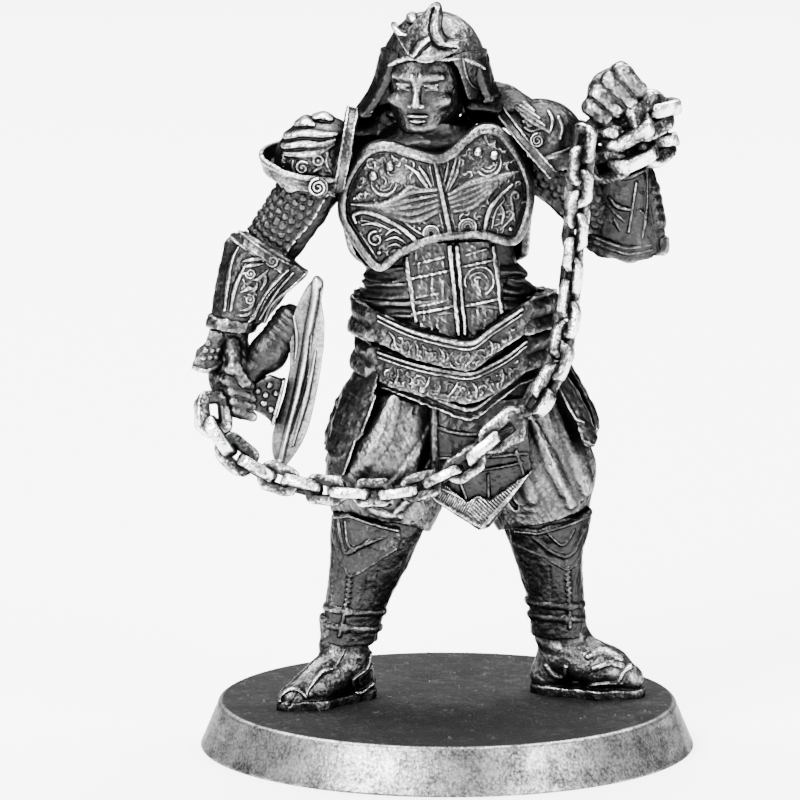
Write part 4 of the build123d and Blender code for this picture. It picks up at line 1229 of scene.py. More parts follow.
@piece("left_vambrace")
def left_vambrace():
    c = Clay((6.2, -1.6, 24.4), (11.6, 4.2, 30.6), 0.05)
    c.add(FOREARM["left"].distance(c.p, 0.0))
    c.add(capsule(c.p, (9.75, 0.9, 29.3), (10.25, 1.2, 25.9), 0.5, 0.72), 0.15)
    r = Relief((6.4, 24.4), (11.5, 30.6), 0.025)
    r.stroke([(9.41, 28.7), (9.05, 26.2)], 0.09, 0.15, sharp=0.6)
    r.stroke(curve([(8.05, 27.95), (8.45, 27.5), (9.05, 27.35)]), 0.16, 0.24, (0.5, 1.2, 0.8))
    r.strokes([curve([(7.95, 27.6), (8.4, 27.15), (8.85, 26.7)]), [(8.3, 26.9), (8.6, 26.25)],
               curve([(9.6, 27.3), (9.9, 26.9), (9.75, 25.9)]),
               curve([(7.4, 28.9), (7.5, 27.9), (7.3, 26.9)])],
              width=0.11, height=0.14, taper=(0.5, 1.2, 0.5))
    r.stroke(curve([(9.95, 29.3), (10.0, 28.0), (9.9, 26.6)]), 0.09, 0.14)
    r.stroke([(10.25, 28.9), (10.75, 26.6)], 0.42, 0.22, taper=(0.6, 1, 1.1))
    for i in range(4):
        r.stud((10.45 + 0.09 * i, 28.2 - 0.52 * i), 0.34, 0.32)
    r.curves([[(8.2, 29.0), (9.0, 29.0), (10.1, 29.45)]], width=0.15, height=0.18, sharp=0.5)
    return c.draw(r).roughen(0.06, 0.4, 63)


@piece("left_hem_band", slot="cloth_metal")
def left_hem_band():
    c = Clay((6.2, -1.8, 24.2), (11.6, 4.4, 27.2), 0.05)
    x, y, z = c.p
    limb = Limb(((8.7, 1.4, 24.6), 1.95, 1.85), ((8.7, 1.25, 26.6), 1.85, 1.75), upright=True)
    height = 25.75 - 0.28 * (x - 7.2).clip(0) + 0.34 * (x - 9.0).clip(0) + 0.1 * y
    below = height - z
    c.add(limb.distance(c.p, ends=False)).keep(np.maximum(-below - 0.3, below - 0.6), 0.08)
    c.cut(limb.distance(c.p, -0.45, ends=False))
    for level in (-0.16, 0.12):
        c.lift(F32(0.12) * np.clip(1 - np.abs(below - level) / 0.12, 0, 1) ** 0.5)
    return c.roughen(0.05, 0.3, 64)


@piece("left_elbow_toggle")
def left_elbow_toggle():
    c = Clay((9.2, 0.2, 24.2), (11.6, 2.6, 26.6), 0.04)
    c.add(block(c.p, (10.46, 1.3, 25.38), (0.62, 0.6, 0.52), (0, 8, 12), 0.25))
    c.cut(capsule(c.p, (10.1, 0.4, 25.5), (10.8, 0.4, 25.2), 0.2), 0.1)
    return c.roughen(0.1, 0.4, 65)


@piece("left_wrist_band")
def left_wrist_band():
    c = Clay((6.9, -1.6, 29.0), (10.9, 2.2, 31.6), 0.045)
    limb = Limb(((8.75, 0.3, 29.4), 1.3, 1.3), ((8.72, 0.1, 31.2), 1.2, 1.2))
    c.add(limb.distance(c.p))
    x, y, z = c.p
    level = z - 29.6 - 0.2 * (x - 8.7)
    c.keep(np.maximum(-level, level - 0.9), 0.08)
    c.lift(F32(0.1) * (np.abs(level - 0.45) > 0.28))
    return c.roughen(0.02, 0.25, 66)


@piece("left_hand", slot="cloth_metal")
def left_hand():
    c = Clay((6.0, -2.9, 29.9), (10.8, 2.0, 35.0), 0.042)
    p = c.p
    c.add(capsule(p, (8.75, 0.1, 30.3), (8.6, -0.2, 31.9), 0.95, 1.0))
    c.add(ellipsoid(p, (8.4, -0.62, 33.0), (1.5, 1.15, 1.45), (0, 40, 0)), 0.35)
    fingers = (((7.1, 32.55), (7.85, 31.95)), ((7.45, 33.25), (8.4, 32.4)), ((8.0, 33.85), (9.0, 32.9)),
               ((8.55, 34.3), (9.45, 33.45)))
    for (ax, az), (bx, bz) in fingers:
        c.add(capsule(p, (ax + 0.05, -0.6, az), (ax + 0.1, -1.35, az + 0.02), 0.5, 0.48), 0.08)
        c.add(capsule(p, (ax + 0.1, -1.4, az), (bx, -1.45, bz), 0.5, 0.44), 0.02)
    c.add(capsule(p, (7.3, -0.6, 31.6), (8.3, -1.5, 31.5), 0.42, 0.38), 0.1)
    x, y, z = p
    level = z - 31.35 - 0.75 * (x - 8.7)
    c.lift(F32(0.1) * np.clip(1 - np.abs(level) / 0.14, 0, 1) * (z < 32.8))
    return c.dress(lambda x, y, z: 0.05 * noise(x, y, z, 0.35, 67) + 0.025 * noise(x, y, z, 0.14, 68))


# ---- legs ---------------------------------------------------------------------------------------------
TROUSER = {
    "right": Limb(((-2.15, 0.1, 17.6), 2.5, 2.6), ((-2.85, -0.35, 14.9), 2.9, 2.95),
                  ((-3.15, -0.7, 13.0), 2.8, 2.6),
                  ((-3.35, -0.9, 11.6), 2.35, 2.2)),
    "left": Limb(((3.3, 0.25, 17.9), 2.65, 2.5), ((4.15, 0.2, 15.2), 2.95, 2.8),
                 ((4.6, 0.1, 13.2), 2.8, 2.6),
                 ((4.85, 0.1, 11.6), 2.2, 2.2)),
}
SHIN = {
    "right": Limb(((-5.1, -0.4, 4.6), 1.35, 1.45), ((-4.65, -0.5, 7.2), 1.5, 1.7),
                  ((-4.1, -0.7, 9.2), 1.85, 1.9),
                  ((-3.5, -0.9, 11.7), 2.35, 2.15)),
    "left": Limb(((5.7, 1.2, 4.6), 1.35, 1.45), ((5.5, 0.9, 7.2), 1.4, 1.6), ((5.2, 0.6, 9.2), 1.65, 1.8),
                 ((4.9, 0.1, 11.7), 2.2, 2.1)),
}


# Folds of the trousers: a line of (x, z) points, its width and its height.
TROUSER_FOLDS = {
    "right": [
        ([(-1.6, 17.6), (-2.3, 16.2), (-3.2, 14.6), (-4.3, 13.2)], 0.22, -0.16),
        ([(-0.7, 16.9), (-1.3, 15.7), (-2.2, 14.4), (-3.1, 13.4)], 0.4, 0.16),
        ([(-0.6, 15.6), (-1.3, 14.6), (-2.1, 13.7)], 0.2, -0.16),
        ([(-2.6, 18.4), (-3.4, 16.6), (-4.6, 14.5)], 0.75, 0.24),
        ([(-1.1, 14.2), (-1.9, 13.2), (-2.6, 12.4)], 0.3, 0.18),
        ([(-4.4, 13.0), (-3.6, 12.5), (-2.4, 12.2)], 0.3, 0.14),
    ],
    "left": [
        ([(3.4, 17.0), (4.2, 15.2), (5.0, 13.6), (5.7, 12.5)], 0.3, -0.34),
        ([(4.6, 17.4), (5.3, 15.6), (6.0, 14.2), (6.7, 12.8)], 0.28, -0.3),
        ([(3.9, 17.6), (4.8, 15.6), (5.6, 13.9), (6.2, 12.6)], 0.42, 0.2),
        ([(2.6, 16.4), (3.3, 14.8), (4.2, 13.0)], 0.5, 0.2),
        ([(5.2, 18.4), (5.9, 16.6), (6.5, 14.8), (7.0, 13.2)], 0.5, 0.22),
        ([(2.2, 14.6), (2.8, 13.4), (3.4, 12.5)], 0.2, -0.22),
    ],
}


@for_both_sides("{}_trouser_leg", slot="cloth_metal")
def trouser_leg(side):
    limb = TROUSER[side]
    c = Clay.over(f"{side}_trouser_leg", 0.7, 0.06)
    c.add(limb.distance(c.p, 0.12))
    r = Relief((-6.5, 11), (8.2, 19.5), 0.035)
    for line, width, height in TROUSER_FOLDS[side]:
        r.stroke(curve(line), width, height, taper=(0.5, 1.1, 0.8), sharp=1.3)
    c.draw(r, front_only(c, limb.origin[1], 1.2))
    seed = 71 if side == "right" else 74

    def cloth(x, y, z):
        w, angle = limb.around((x, y, z))
        behind = np.clip(np.abs(angle) / 60 - 1, 0, 1)
        gathers = 0.22 * np.sin(angle / 9 + 0.8 * w + noise(x, y, z, 1.3, seed)) * behind
        brushed = 0.018 * noise((x + 0.5 * z) * 3, y, (z - 0.5 * x) * 0.6, 0.3, seed + 2)
        return gathers + brushed + 0.05 * noise(x, y, z, 0.8, seed) + 0.018 * noise(x, y, z, 0.2, seed + 1)
    return c.dress(cloth)


# Thigh plates: the outline and the edges that are rubbed bright, as (x, z) points.
THIGH_PLATES = {
    "right": ([(-3.4, 19.4), (-4.9, 19.4), (-6.2, 15.25), (-5.65, 15.0), (-6.0, 14.3), (-5.35, 14.05),
               (-4.6, 16.0),
               (-4.25, 16.3)],
              [[(-3.55, 18.4), (-4.3, 16.5)], [(-4.65, 16.0), (-5.2, 14.3)]]),
    "left": ([(4.7, 19.3), (5.7, 19.5), (6.5, 18.3), (7.2, 16.9), (7.5, 16.0), (7.3, 15.6), (6.8, 15.8),
              (6.35, 17.1),
              (5.9, 18.0), (5.4, 18.7)],
             [[(5.5, 18.8), (6.0, 17.8), (6.4, 17.1), (6.8, 16.9)], [(6.8, 16.0), (7.3, 15.75)]]),
}


@for_both_sides("{}_thigh_plate")
def thigh_plate(side):
    outline, bright_edges = THIGH_PLATES[side]
    c = Clay.over(f"{side}_thigh_plate", 0.9, 0.055)
    x, y, z = c.p
    lean = -1 if side == "right" else 1
    hip = Limb(((1.2 + lean * 1.6, 0.1, 20.0), 3.2, 3.0), ((1.0 + lean * 3.4, 0.0, 17.0), 3.1, 3.0),
               ((0.9 + lean * 3.9, -0.2, 13.8), 3.2, 2.9), upright=True)
    c.add(np.abs(hip.distance(c.p, 0.15, ends=False)) - 0.3)
    back = np.clip((y - 0.2) / 1.2, 0, 1)
    edge = outline_distance(x - lean * 0.3 * back, z, outline).astype(F32)
    c.keep(edge, 0.08)
    c.keep(y - 2.2, 0.1)
    r = Relief((-6.8, 13.6), (8.2, 20), 0.03)
    for line in bright_edges:
        r.stroke(line, 0.11, 0.16, taper=(0.5, 1, 0.6))
    rows = [(lean * (4.3 + 0.45 * i) + 0.4, 18.9 - 0.75 * i) for i in range(6)]
    r.strokes([curve([(u - 0.8, v), (u, v - 0.2), (u + 0.9, v + 0.05)]) for u, v in rows], width=0.2,
              height=0.05)
    return c.draw(r).roughen(0.06, 0.35, 75)


# Knee guards and the ribs below them, as (x, z) points.
KNEES = {
    "right": dict(
        outline=[(-5.75, 12.15), (-4.95, 12.35), (-2.4, 11.6), (-2.5, 10.5), (-4.0, 9.5), (-4.85, 8.95),
                 (-5.45, 9.6),
                 (-5.8, 10.8)],
        ridges=[[(-5.5, 12.0), (-5.35, 11.0), (-5.1, 10.3), (-4.2, 10.75), (-3.1, 11.2)],
                [(-5.15, 11.9), (-5.0, 10.75), (-4.55, 10.6), (-3.9, 11.1)]],
        rim=[(-5.65, 12.0), (-4.95, 12.2), (-2.5, 11.5)],
        rim_low=[(-2.6, 10.5), (-4.0, 9.55), (-4.85, 9.05), (-5.4, 9.7)],
        rib=[(-4.9, 9.3), (-5.05, 7.7), (-5.45, 5.9)],
    ),
    "left": dict(
        outline=[(3.1, 11.4), (4.4, 11.35), (7.35, 12.1), (7.35, 10.9), (6.85, 10.0), (6.45, 9.15),
                 (5.95, 9.0), (4.9, 9.8),
                 (3.2, 10.4)],
        ridges=[[(4.3, 10.9), (5.5, 10.0), (6.3, 10.0), (6.9, 11.2)],
                [(5.0, 11.2), (5.8, 10.5), (6.4, 11.3)]],
        rim=[(3.4, 11.2), (4.5, 11.15), (7.2, 11.9)],
        rim_low=[(3.3, 10.4), (4.9, 9.85), (6.0, 9.1), (6.5, 9.3)],
        rib=[(6.05, 9.3), (6.15, 7.6), (6.2, 6.0)],
    ),
}


@for_both_sides("{}_knee_guard")
def knee_guard(side):
    knee = KNEES[side]
    c = Clay.over(f"{side}_knee_guard", 0.9, 0.05)
    x, y, z = c.p
    c.add(SHIN[side].distance(c.p, 0.22, ends=False))
    c.cut(SHIN[side].distance(c.p, -0.3, ends=False))
    c.within(knee["outline"], 0.12)
    c.keep(y - 0.4, 0.1)
    r = Relief((-6.5, 8.4), (8, 13), 0.025)
    r.stroke(knee["rim"], 0.09, 0.15, sharp=0.5).stroke(knee["rim_low"], 0.07, 0.06, sharp=0.5)
    for line, width in zip(knee["ridges"], (0.14, 0.1)):
        r.stroke(curve(line), width, 0.14, taper=(0.7, 1.1, 0.5))
    c.draw(r)
    return c.dress(lambda x, y, z: 0.07 * noise(x, y, z, 0.5, 76) + 0.03 * noise(x, y, z, 0.2, 77))


@for_both_sides("{}_greave")
def greave(side):
    c = Clay.over(f"{side}_greave", 0.7, 0.055)
    x, y, z = c.p
    c.add(SHIN[side].distance(c.p, 0.04, ends=False))
    c.keep(np.maximum(5.35 - z, z - 11.9), 0.12)
    knee = KNEES[side]
    r = Relief((-7.5, 5), (8, 12), 0.022)
    rib = curve(knee["rib"], 12)
    r.stroke(rib, 0.12, 0.17, sharp=0.6)
    for i, spot in enumerate(rib[:14]):
        r.stud(spot + (0.06 * (-1) ** i, 0), 0.12, 0.2)
    lean = -1 if side == "right" else 1
    for offset in (0.9, 1.4):
        r.stroke([(u - lean * offset, v) for u, v in knee["rib"][:2]], 0.07, -0.05)
    c.draw(r, front_only(c, 0.8))
    return c.dress(lambda x, y, z: 0.06 * noise(x, y, z * 0.6, 0.5, 77) + 0.02 * noise(x, y, z, 0.15, 78),
                   0.3)


# Ankle straps: the height, and the dip for each millimetre to the side.
STRAPS = {("right", "upper"): (7.02, -0.1), ("right", "lower"): (6.15, -0.1),
          ("left", "upper"): (7.12, -0.05),
          ("left", "lower"): (6.42, -0.05)}


@pieces({f"{side}_{level}_ankle_strap": (side, level) for side, level in STRAPS})
def ankle_strap(side, level):
    height, dip = STRAPS[side, level]
    limb = SHIN[side]
    c = Clay.over(f"{side}_{level}_ankle_strap", 0.7, 0.045)
    x, y, z = c.p
    middle = limb.origin[0]
    across = z - height - dip * (x - middle) + 0.07 * y
    roll = np.hypot((limb.distance(c.p, -0.02, ends=False)) * 1.3, across) - 0.23
    c.add(overlap(roll, -limb.distance(c.p, -0.1, ends=False), 0.02))
    buckle = KNEES[side]["rib"][1][0] - 0.15 * (level == "lower")
    c.lift(F32(0.1) * np.clip(1 - np.abs(x - buckle) / 0.25, 0, 1) ** 0.5 * (y < 0))
    return c.roughen(0.05, 0.35, 79)


# Boots: heel, instep, ball of the foot and toe, each as a centre and a radius.
BOOTS = {
    "right": (((-4.6, 0.15, 3.2), 1.0), ((-5.2, -0.55, 4.35), 1.24), ((-6.75, -1.95, 3.2), 1.05),
              ((-7.8, -2.75, 2.9), 0.66)),
    "left": (((5.3, 1.45, 3.2), 1.05), ((6.0, 1.1, 4.55), 1.28), ((8.0, 0.6, 3.72), 1.25),
             ((9.15, 0.35, 3.2), 0.82)),
}


@for_both_sides("{}_boot")
def boot(side):
    heel, instep, ball, toe = BOOTS[side]
    low = np.minimum(np.array(heel[0]), np.array(toe[0])) - 2.1
    high = np.maximum(np.array(heel[0]), np.array(toe[0])) + 1.9
    c = Clay((low[0], low[1], 1.95), (high[0], high[1], 6.7), 0.048)
    p = c.p
    x, y, z = p
    ankle = (SHIN[side].origin[0] - 0.03, SHIN[side].origin[1], 6.3)
    c.add(capsule(p, ankle, instep[0], 1.36, instep[1]))
    c.add(capsule(p, instep[0], heel[0], instep[1], heel[1]), 0.2)
    c.add(capsule(p, instep[0], ball[0], instep[1] * 0.95, ball[1]), 0.25)
    c.add(capsule(p, ball[0], toe[0], ball[1], toe[1]), 0.15)
    c.lift(0.07 * np.sin((z - 4.6) * 6 + (x - ankle[0]) * 1.2) * np.exp(-((z - 5.1) / 0.6) ** 2))
    sole = None
    flat = (x, y, F32(0))
    spots = ((heel[0], 1.05), (instep[0], 0.95), (ball[0], ball[1] + 0.14), (toe[0], toe[1] + 0.12))
    for (a, near), (b, far) in zip(spots, spots[1:]):
        part = capsule(flat, (a[0], a[1], 0), (b[0], b[1], 0), near, far)
        sole = part if sole is None else union(sole, part, 0.15)
    c.add(overlap(sole, np.abs(z - 2.5) - 0.27, 0.07), 0.03)
    c.keep(2.1 - z)
    r = Relief((-9.5, 2), (11, 7), 0.022)
    if side == "right":
        r.stroke(curve([(-4.95, 5.45), (-5.4, 4.7), (-5.65, 4.3), (-6.3, 4.15), (-6.95, 3.4), (-7.1, 3.0)]),
                 0.07, 0.09)
        r.stroke(curve([(-5.0, 5.5), (-5.5, 4.6), (-5.8, 4.25), (-6.4, 4.0), (-7.05, 3.3)]) + (0.09, -0.02),
                 0.05, -0.1)
        r.stroke(arc((-7.75, 2.75), 0.68, 20, 175), 0.1, 0.14)
        r.stroke([(-7.95, 2.6), (-7.55, 3.2)], 0.05, -0.1)
        r.stroke(curve([(-3.85, 4.7), (-4.0, 4.1), (-4.7, 3.55), (-4.65, 3.0), (-4.35, 2.8), (-3.75, 3.1)]),
                 0.1, 0.16)
        r.stroke(curve([(-3.6, 4.7), (-3.7, 4.15), (-4.4, 3.6), (-4.35, 3.15)]), 0.08, 0.14)
        r.stud((-5.1, 6.0), 0.16, 0.16).stud((-5.4, 5.7), 0.16, 0.16)
    else:
        r.stroke(curve([(8.7, 3.25), (8.95, 3.75), (9.3, 3.95)]), 0.12, 0.16)
        r.stroke(curve([(7.2, 2.95), (8.1, 3.1), (8.8, 3.1)]), 0.12, 0.12)
        r.stroke(curve([(5.0, 3.9), (5.4, 3.4), (5.9, 3.3), (6.0, 3.9)]), 0.12, 0.12)
        r.curves([[(7.1, 4.5), (7.9, 4.8), (8.8, 4.4)], [(7.4, 3.9), (8.2, 4.2), (8.9, 4.0)]], width=0.16,
                 height=0.09)
        r.stud((6.2, 5.9), 0.2, 0.16)
    c.draw(r, y < heel[0][1] + 0.6)
    return c.dress(lambda x, y, z: 0.05 * noise(x, y, z, 0.6, 80) + 0.015 * noise(x, y, z, 0.18, 81), 0.3)


# ---- meshes built directly ----------------------------------------------------------------------------
def quads_of(rows, columns, start=0):
    """Quads of a grid that closes on itself both ways."""
    i, j = np.meshgrid(np.arange(rows), np.arange(columns), indexing="ij")
    at = lambda a, b: start + (a % rows) * columns + b % columns
    return np.stack([at(i, j), at(i + 1, j), at(i + 1, j + 1), at(i, j + 1)], -1).reshape(-1, 4)


WIRE = 0.53            # thickness of a link's wire
PITCH = 1.13           # from one link to the next, at size 1
BEND = 0.46            # radius of a link's round end
OVERLAP = 0.34         # how far a link is longer than the pitch
MELT_MIDDLE = 3.2      # along X, where the casting has run together most
MELT_WIDTH = 1.9


def chain(points, first_turn, sizes, melted):
    """Boxy links spaced evenly along a smooth curve, each a quarter turn from the last.

    sizes are spread evenly from the first link to the last. Near the front flap the links are partly melted
    together, as melted says.
    """
    route = curve(points, 24)
    steps = np.linalg.norm(np.diff(route, axis=0), axis=1)
    travelled = np.concatenate([[0], np.cumsum(steps)])
    count = round(travelled[-1] / (PITCH * np.mean(sizes)))
    rounds, sides = 40, 16
    angle = np.linspace(0, 2 * math.pi, rounds, endpoint=False)
    turn = np.linspace(0, 2 * math.pi, sides, endpoint=False)
    boxy = lambda v, power: np.sign(v) * np.abs(v) ** power
    pitch = travelled[-1] / count
    all_points, all_faces, all_sharp = [], [], []
    for i in range(count):
        share = (i + 0.5) / count
        size = np.interp(share, np.linspace(0, 1, len(sizes)), sizes)
        bend = BEND * size
        straight = pitch + OVERLAP * size - 2 * bend
        middle_u = bend * boxy(np.cos(angle), 0.7)
        middle_w = bend * boxy(np.sin(angle), 0.7) + np.sign(np.sin(angle)) * straight / 2
        tangent = np.stack([np.roll(middle_u, -1) - np.roll(middle_u, 1),
                            np.roll(middle_w, -1) - np.roll(middle_w, 1)], 1)
        tangent /= np.linalg.norm(tangent, axis=1, keepdims=True)
        across, thick = (WIRE / 2 * size * boxy(f(turn), 0.5) for f in (np.cos, np.sin))
        s = travelled[-1] * share
        centre = np.array([np.interp(s, travelled, route[:, k]) for k in range(3)])
        ahead = np.array([np.interp(s + 0.3, travelled, route[:, k])
                          - np.interp(s - 0.3, travelled, route[:, k]) for k in range(3)])
        along = ahead / np.linalg.norm(ahead)
        sideways = np.cross(along, (0, 1, 0))
        sideways /= np.linalg.norm(sideways)
        third = np.cross(along, sideways)
        a = math.radians(first_turn + 90 * (i % 2) + 14 * math.sin(i * 2.3))
        u_axis = sideways * math.cos(a) + third * math.sin(a)
        v_axis = third * math.cos(a) - sideways * math.sin(a)
        u = middle_u[:, None] + tangent[:, 1:2] * across[None, :]
        w = middle_w[:, None] - tangent[:, 0:1] * across[None, :]
        v = np.broadcast_to(thick[None, :], u.shape)
        link = centre + u[..., None] * u_axis + v[..., None] * v_axis + w[..., None] * along
        link = link.reshape(-1, 3)
        dent = noise(*link.T, 0.32, 90) + 0.5 * noise(*link.T, 0.14, 91)
        blob = melted * math.exp(-((centre[0] - MELT_MIDDLE) / MELT_WIDTH) ** 2) + 0.12 * (size - 1)
        lumps = 0.04 * dent + blob * (0.35 + noise(*link.T, 0.7, 92))
        link = link + lumps[:, None] * (link - centre) / 0.6
        outward = np.broadcast_to(0.25 + 0.45 * np.cos(turn)[None, :], u.shape).ravel()
        all_sharp.append(outward + 0.3 * dent)
        all_faces.append(quads_of(rounds, sides, i * rounds * sides))
        all_points.append(link)
    return np.vstack(all_points), np.vstack(all_faces), np.concatenate(all_sharp)


def wrist_turn(height, radius, tilt, start, stop):
    """Points of one turn round the left wrist, from angle start to stop in degrees."""
    angles = np.radians(np.linspace(start, stop, 9))
    x, y = radius * np.cos(angles), radius * np.sin(angles)
    return np.stack([8.95 + x, 0.1 + y, height + tilt * x], 1)


# Chains: the route, the first link's turn in degrees, and the sizes of the links along it.
CHAINS = {
    "chain_drop": ([(6.75, -2.2, 31.4), (6.45, -2.25, 28.0), (6.2, -2.4, 25.0), (5.85, -2.9, 22.0),
                    (5.2, -3.8, 19.6),
                    (4.05, -4.45, 17.8)], 42, (1.0, 0.98, 0.98)),
    "chain_sweep": ([(3.2, -4.6, 17.0), (1.0, -4.75, 15.2), (-1.0, -4.5, 14.1), (-3.0, -4.35, 13.65),
                     (-5.0, -4.1, 13.6),
                     (-7.4, -3.7, 13.9), (-9.8, -3.3, 14.8), (-11.4, -2.9, 16.3), (-11.75, -2.4, 17.9)], 12,
                    (0.95, 1.0, 1.05, 1.1, 1.3)),
    "chain_wrist_upper": (wrist_turn(31.35, 1.62, 0.6, -160, 120), 15, (1.1, 1.35, 1.5, 1.4, 1.3)),
    "chain_wrist_lower": (wrist_turn(30.0, 1.6, 0.4, -150, 90), 5, (1.0, 1.3, 1.4, 1.3, 1.2)),
}


def base_disc():
    """The round base: a rough dark top, a soft edge and a slanting brushed side."""
    low, high = (np.array(corner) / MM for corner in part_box("base"))
    radius, top = (high[0] - low[0]) / 2, high[2]
    middle_x, middle_y = (high[0] + low[0]) / 2, (high[1] + low[1]) / 2
    around = 640
    angle = np.linspace(0, 2 * math.pi, around, endpoint=False)
    top_radius = radius - 0.9
    rings = [(r, top) for r in np.linspace(0.0003, 1, 120) * (top_radius - 0.25)]
    rings += [(top_radius - 0.25 + 0.3 * math.sin(t), top
               - 0.28 * (1 - math.cos(t))) for t in np.linspace(0.2, 1.3, 7)]
    rings += [(top_radius + 0.05 + (radius - top_radius - 0.05) * t,
               (top - 0.28) * (1 - t)) for t in np.linspace(0.06, 1, 20)]
    rings += [(r, 0) for r in (radius - 0.3, 0.003)]
    r, h = np.array(rings).T[:, :, None]
    x, y = middle_x + r * np.cos(angle), middle_y + r * np.sin(angle)
    z = np.broadcast_to(h, x.shape)
    lumps = (0.05 * noise(x, y, z, 1.1, 95) + 0.06 * noise(x, y, z, 0.34, 96).clip(0)
             + 0.03 * noise(x, y, z, 0.15, 97))
    grit = 0.16 * (noise(x, y, z, 0.22, 98) - 0.62).clip(0) * 2.5
    inside = np.clip((top_radius - 0.2 - r) / 0.5, 0, 1)
    fine = (lumps + grit) * inside
    side = (r > top_radius - 0.2) & (h > 0.02)
    scratch = 0.014 * noise(x * 0.4, y * 0.4, z * 3, 0.5, 99) * side
    points = np.stack([x + scratch * np.cos(angle), y + scratch * np.sin(angle), z + fine], -1)
    points = points.reshape(-1, 3)
    sharp = np.where(inside > 0, (lumps + 2 * grit) * 4 - 0.35, 0.5 + 0.2 * noise(x, y, z, 1.5, 100))
    count = len(rings)
    i, j = np.meshgrid(np.arange(count - 1), np.arange(around), indexing="ij")
    at = lambda a, b: a * around + b % around
    faces = np.stack([at(i, j), at(i, j + 1), at(i + 1, j + 1), at(i + 1, j)], -1).reshape(-1, 4)
    return points, faces, sharp.ravel()


# ---- from arrays to objects ---------------------------------------------------------------------------
def facing_out(points, quads):
    """The quads, turned over if the surface faces inwards."""
    a, b, c, d = (points[quads[:, k]] for k in range(4))
    volume = np.einsum("ij,ij->", a, np.cross(b, c)) + np.einsum("ij,ij->", a, np.cross(c, d))
    return quads if volume > 0 else quads[:, ::-1]


def make_object(name, points, quads, values):
    quads = facing_out(points, quads)
    mesh = bpy.data.meshes.new(name)
    mesh.vertices.add(len(points))
    mesh.vertices.foreach_set("co", (points * MM).astype(F32).ravel())
    mesh.loops.add(quads.size)
    mesh.loops.foreach_set("vertex_index", quads.astype(np.int32).ravel())
    mesh.polygons.add(len(quads))
    mesh.polygons.foreach_set("loop_start", np.arange(0, quads.size, 4, dtype=np.int32))
    mesh.update(calc_edges=True)
    mesh.shade_smooth()
    for label, data in values.items():
        mesh.attributes.new(label, "FLOAT", "POINT").data.foreach_set("value", data.astype(F32))
    made = bpy.data.objects.new(name, mesh)
    bpy.context.collection.objects.link(made)
    return made


def finish_piece(made, nodes, slot, material):
    made.data.materials.append(material)
    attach(made, "root")
    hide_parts(*nodes)


# ---- metals -------------------------------------------------------------------------------------------
class Shader:
    """A material's node tree with short ways to add nodes."""

    def __init__(self, name):
        self.material = bpy.data.materials.new(name)
        self.material.use_nodes = True
        self.tree = self.material.node_tree
        self.surface = self.tree.nodes["Principled BSDF"]

    def node(self, kind, inputs=(), **settings):
        made = self.tree.nodes.new(kind)
        for key, value in settings.items():
            setattr(made, key, value)
        for key, value in dict(inputs).items():
            self.feed(made.inputs[key], value)
        return made

    def feed(self, socket, value):
        if isinstance(value, bpy.types.NodeSocket):
            self.tree.links.new(value, socket)
        else:
            socket.default_value = value

    def math(self, operation, a, b=0.0, clamp=False):
        made = self.node("ShaderNodeMath", {0: a, 1: b}, operation=operation)
        made.use_clamp = clamp
        return made.outputs[0]

    def noise(self, scale, detail=3.0, stretch=(1, 1, 1)):
        """Noise with features 1 / scale across, in millimetres."""
        place = self.node("ShaderNodeTexCoord").outputs["Object"]
        moved = self.node("ShaderNodeMapping", {"Vector": place, "Scale": [s / MM for s in stretch]})
        return self.node("ShaderNodeTexNoise", {"Vector": moved.outputs[0], "Scale": scale,
                                                "Detail": detail}).outputs[0]

    def attribute(self, name):
        return self.node("ShaderNodeAttribute", attribute_name=name).outputs["Fac"]

    def ramp(self, value, stops):
        made = self.node("ShaderNodeValToRGB", {0: value})
        while len(made.color_ramp.elements) < len(stops):
            made.color_ramp.elements.new(0.5)
        for element, (at, level) in zip(made.color_ramp.elements, stops):
            element.position = at
            element.color = (level, level, level, 1)
        return made.outputs[0]


FLAT_WEAR = 0.42      # how worn a flat open surface is: 0 in the deepest recess, 1 on a polished edge


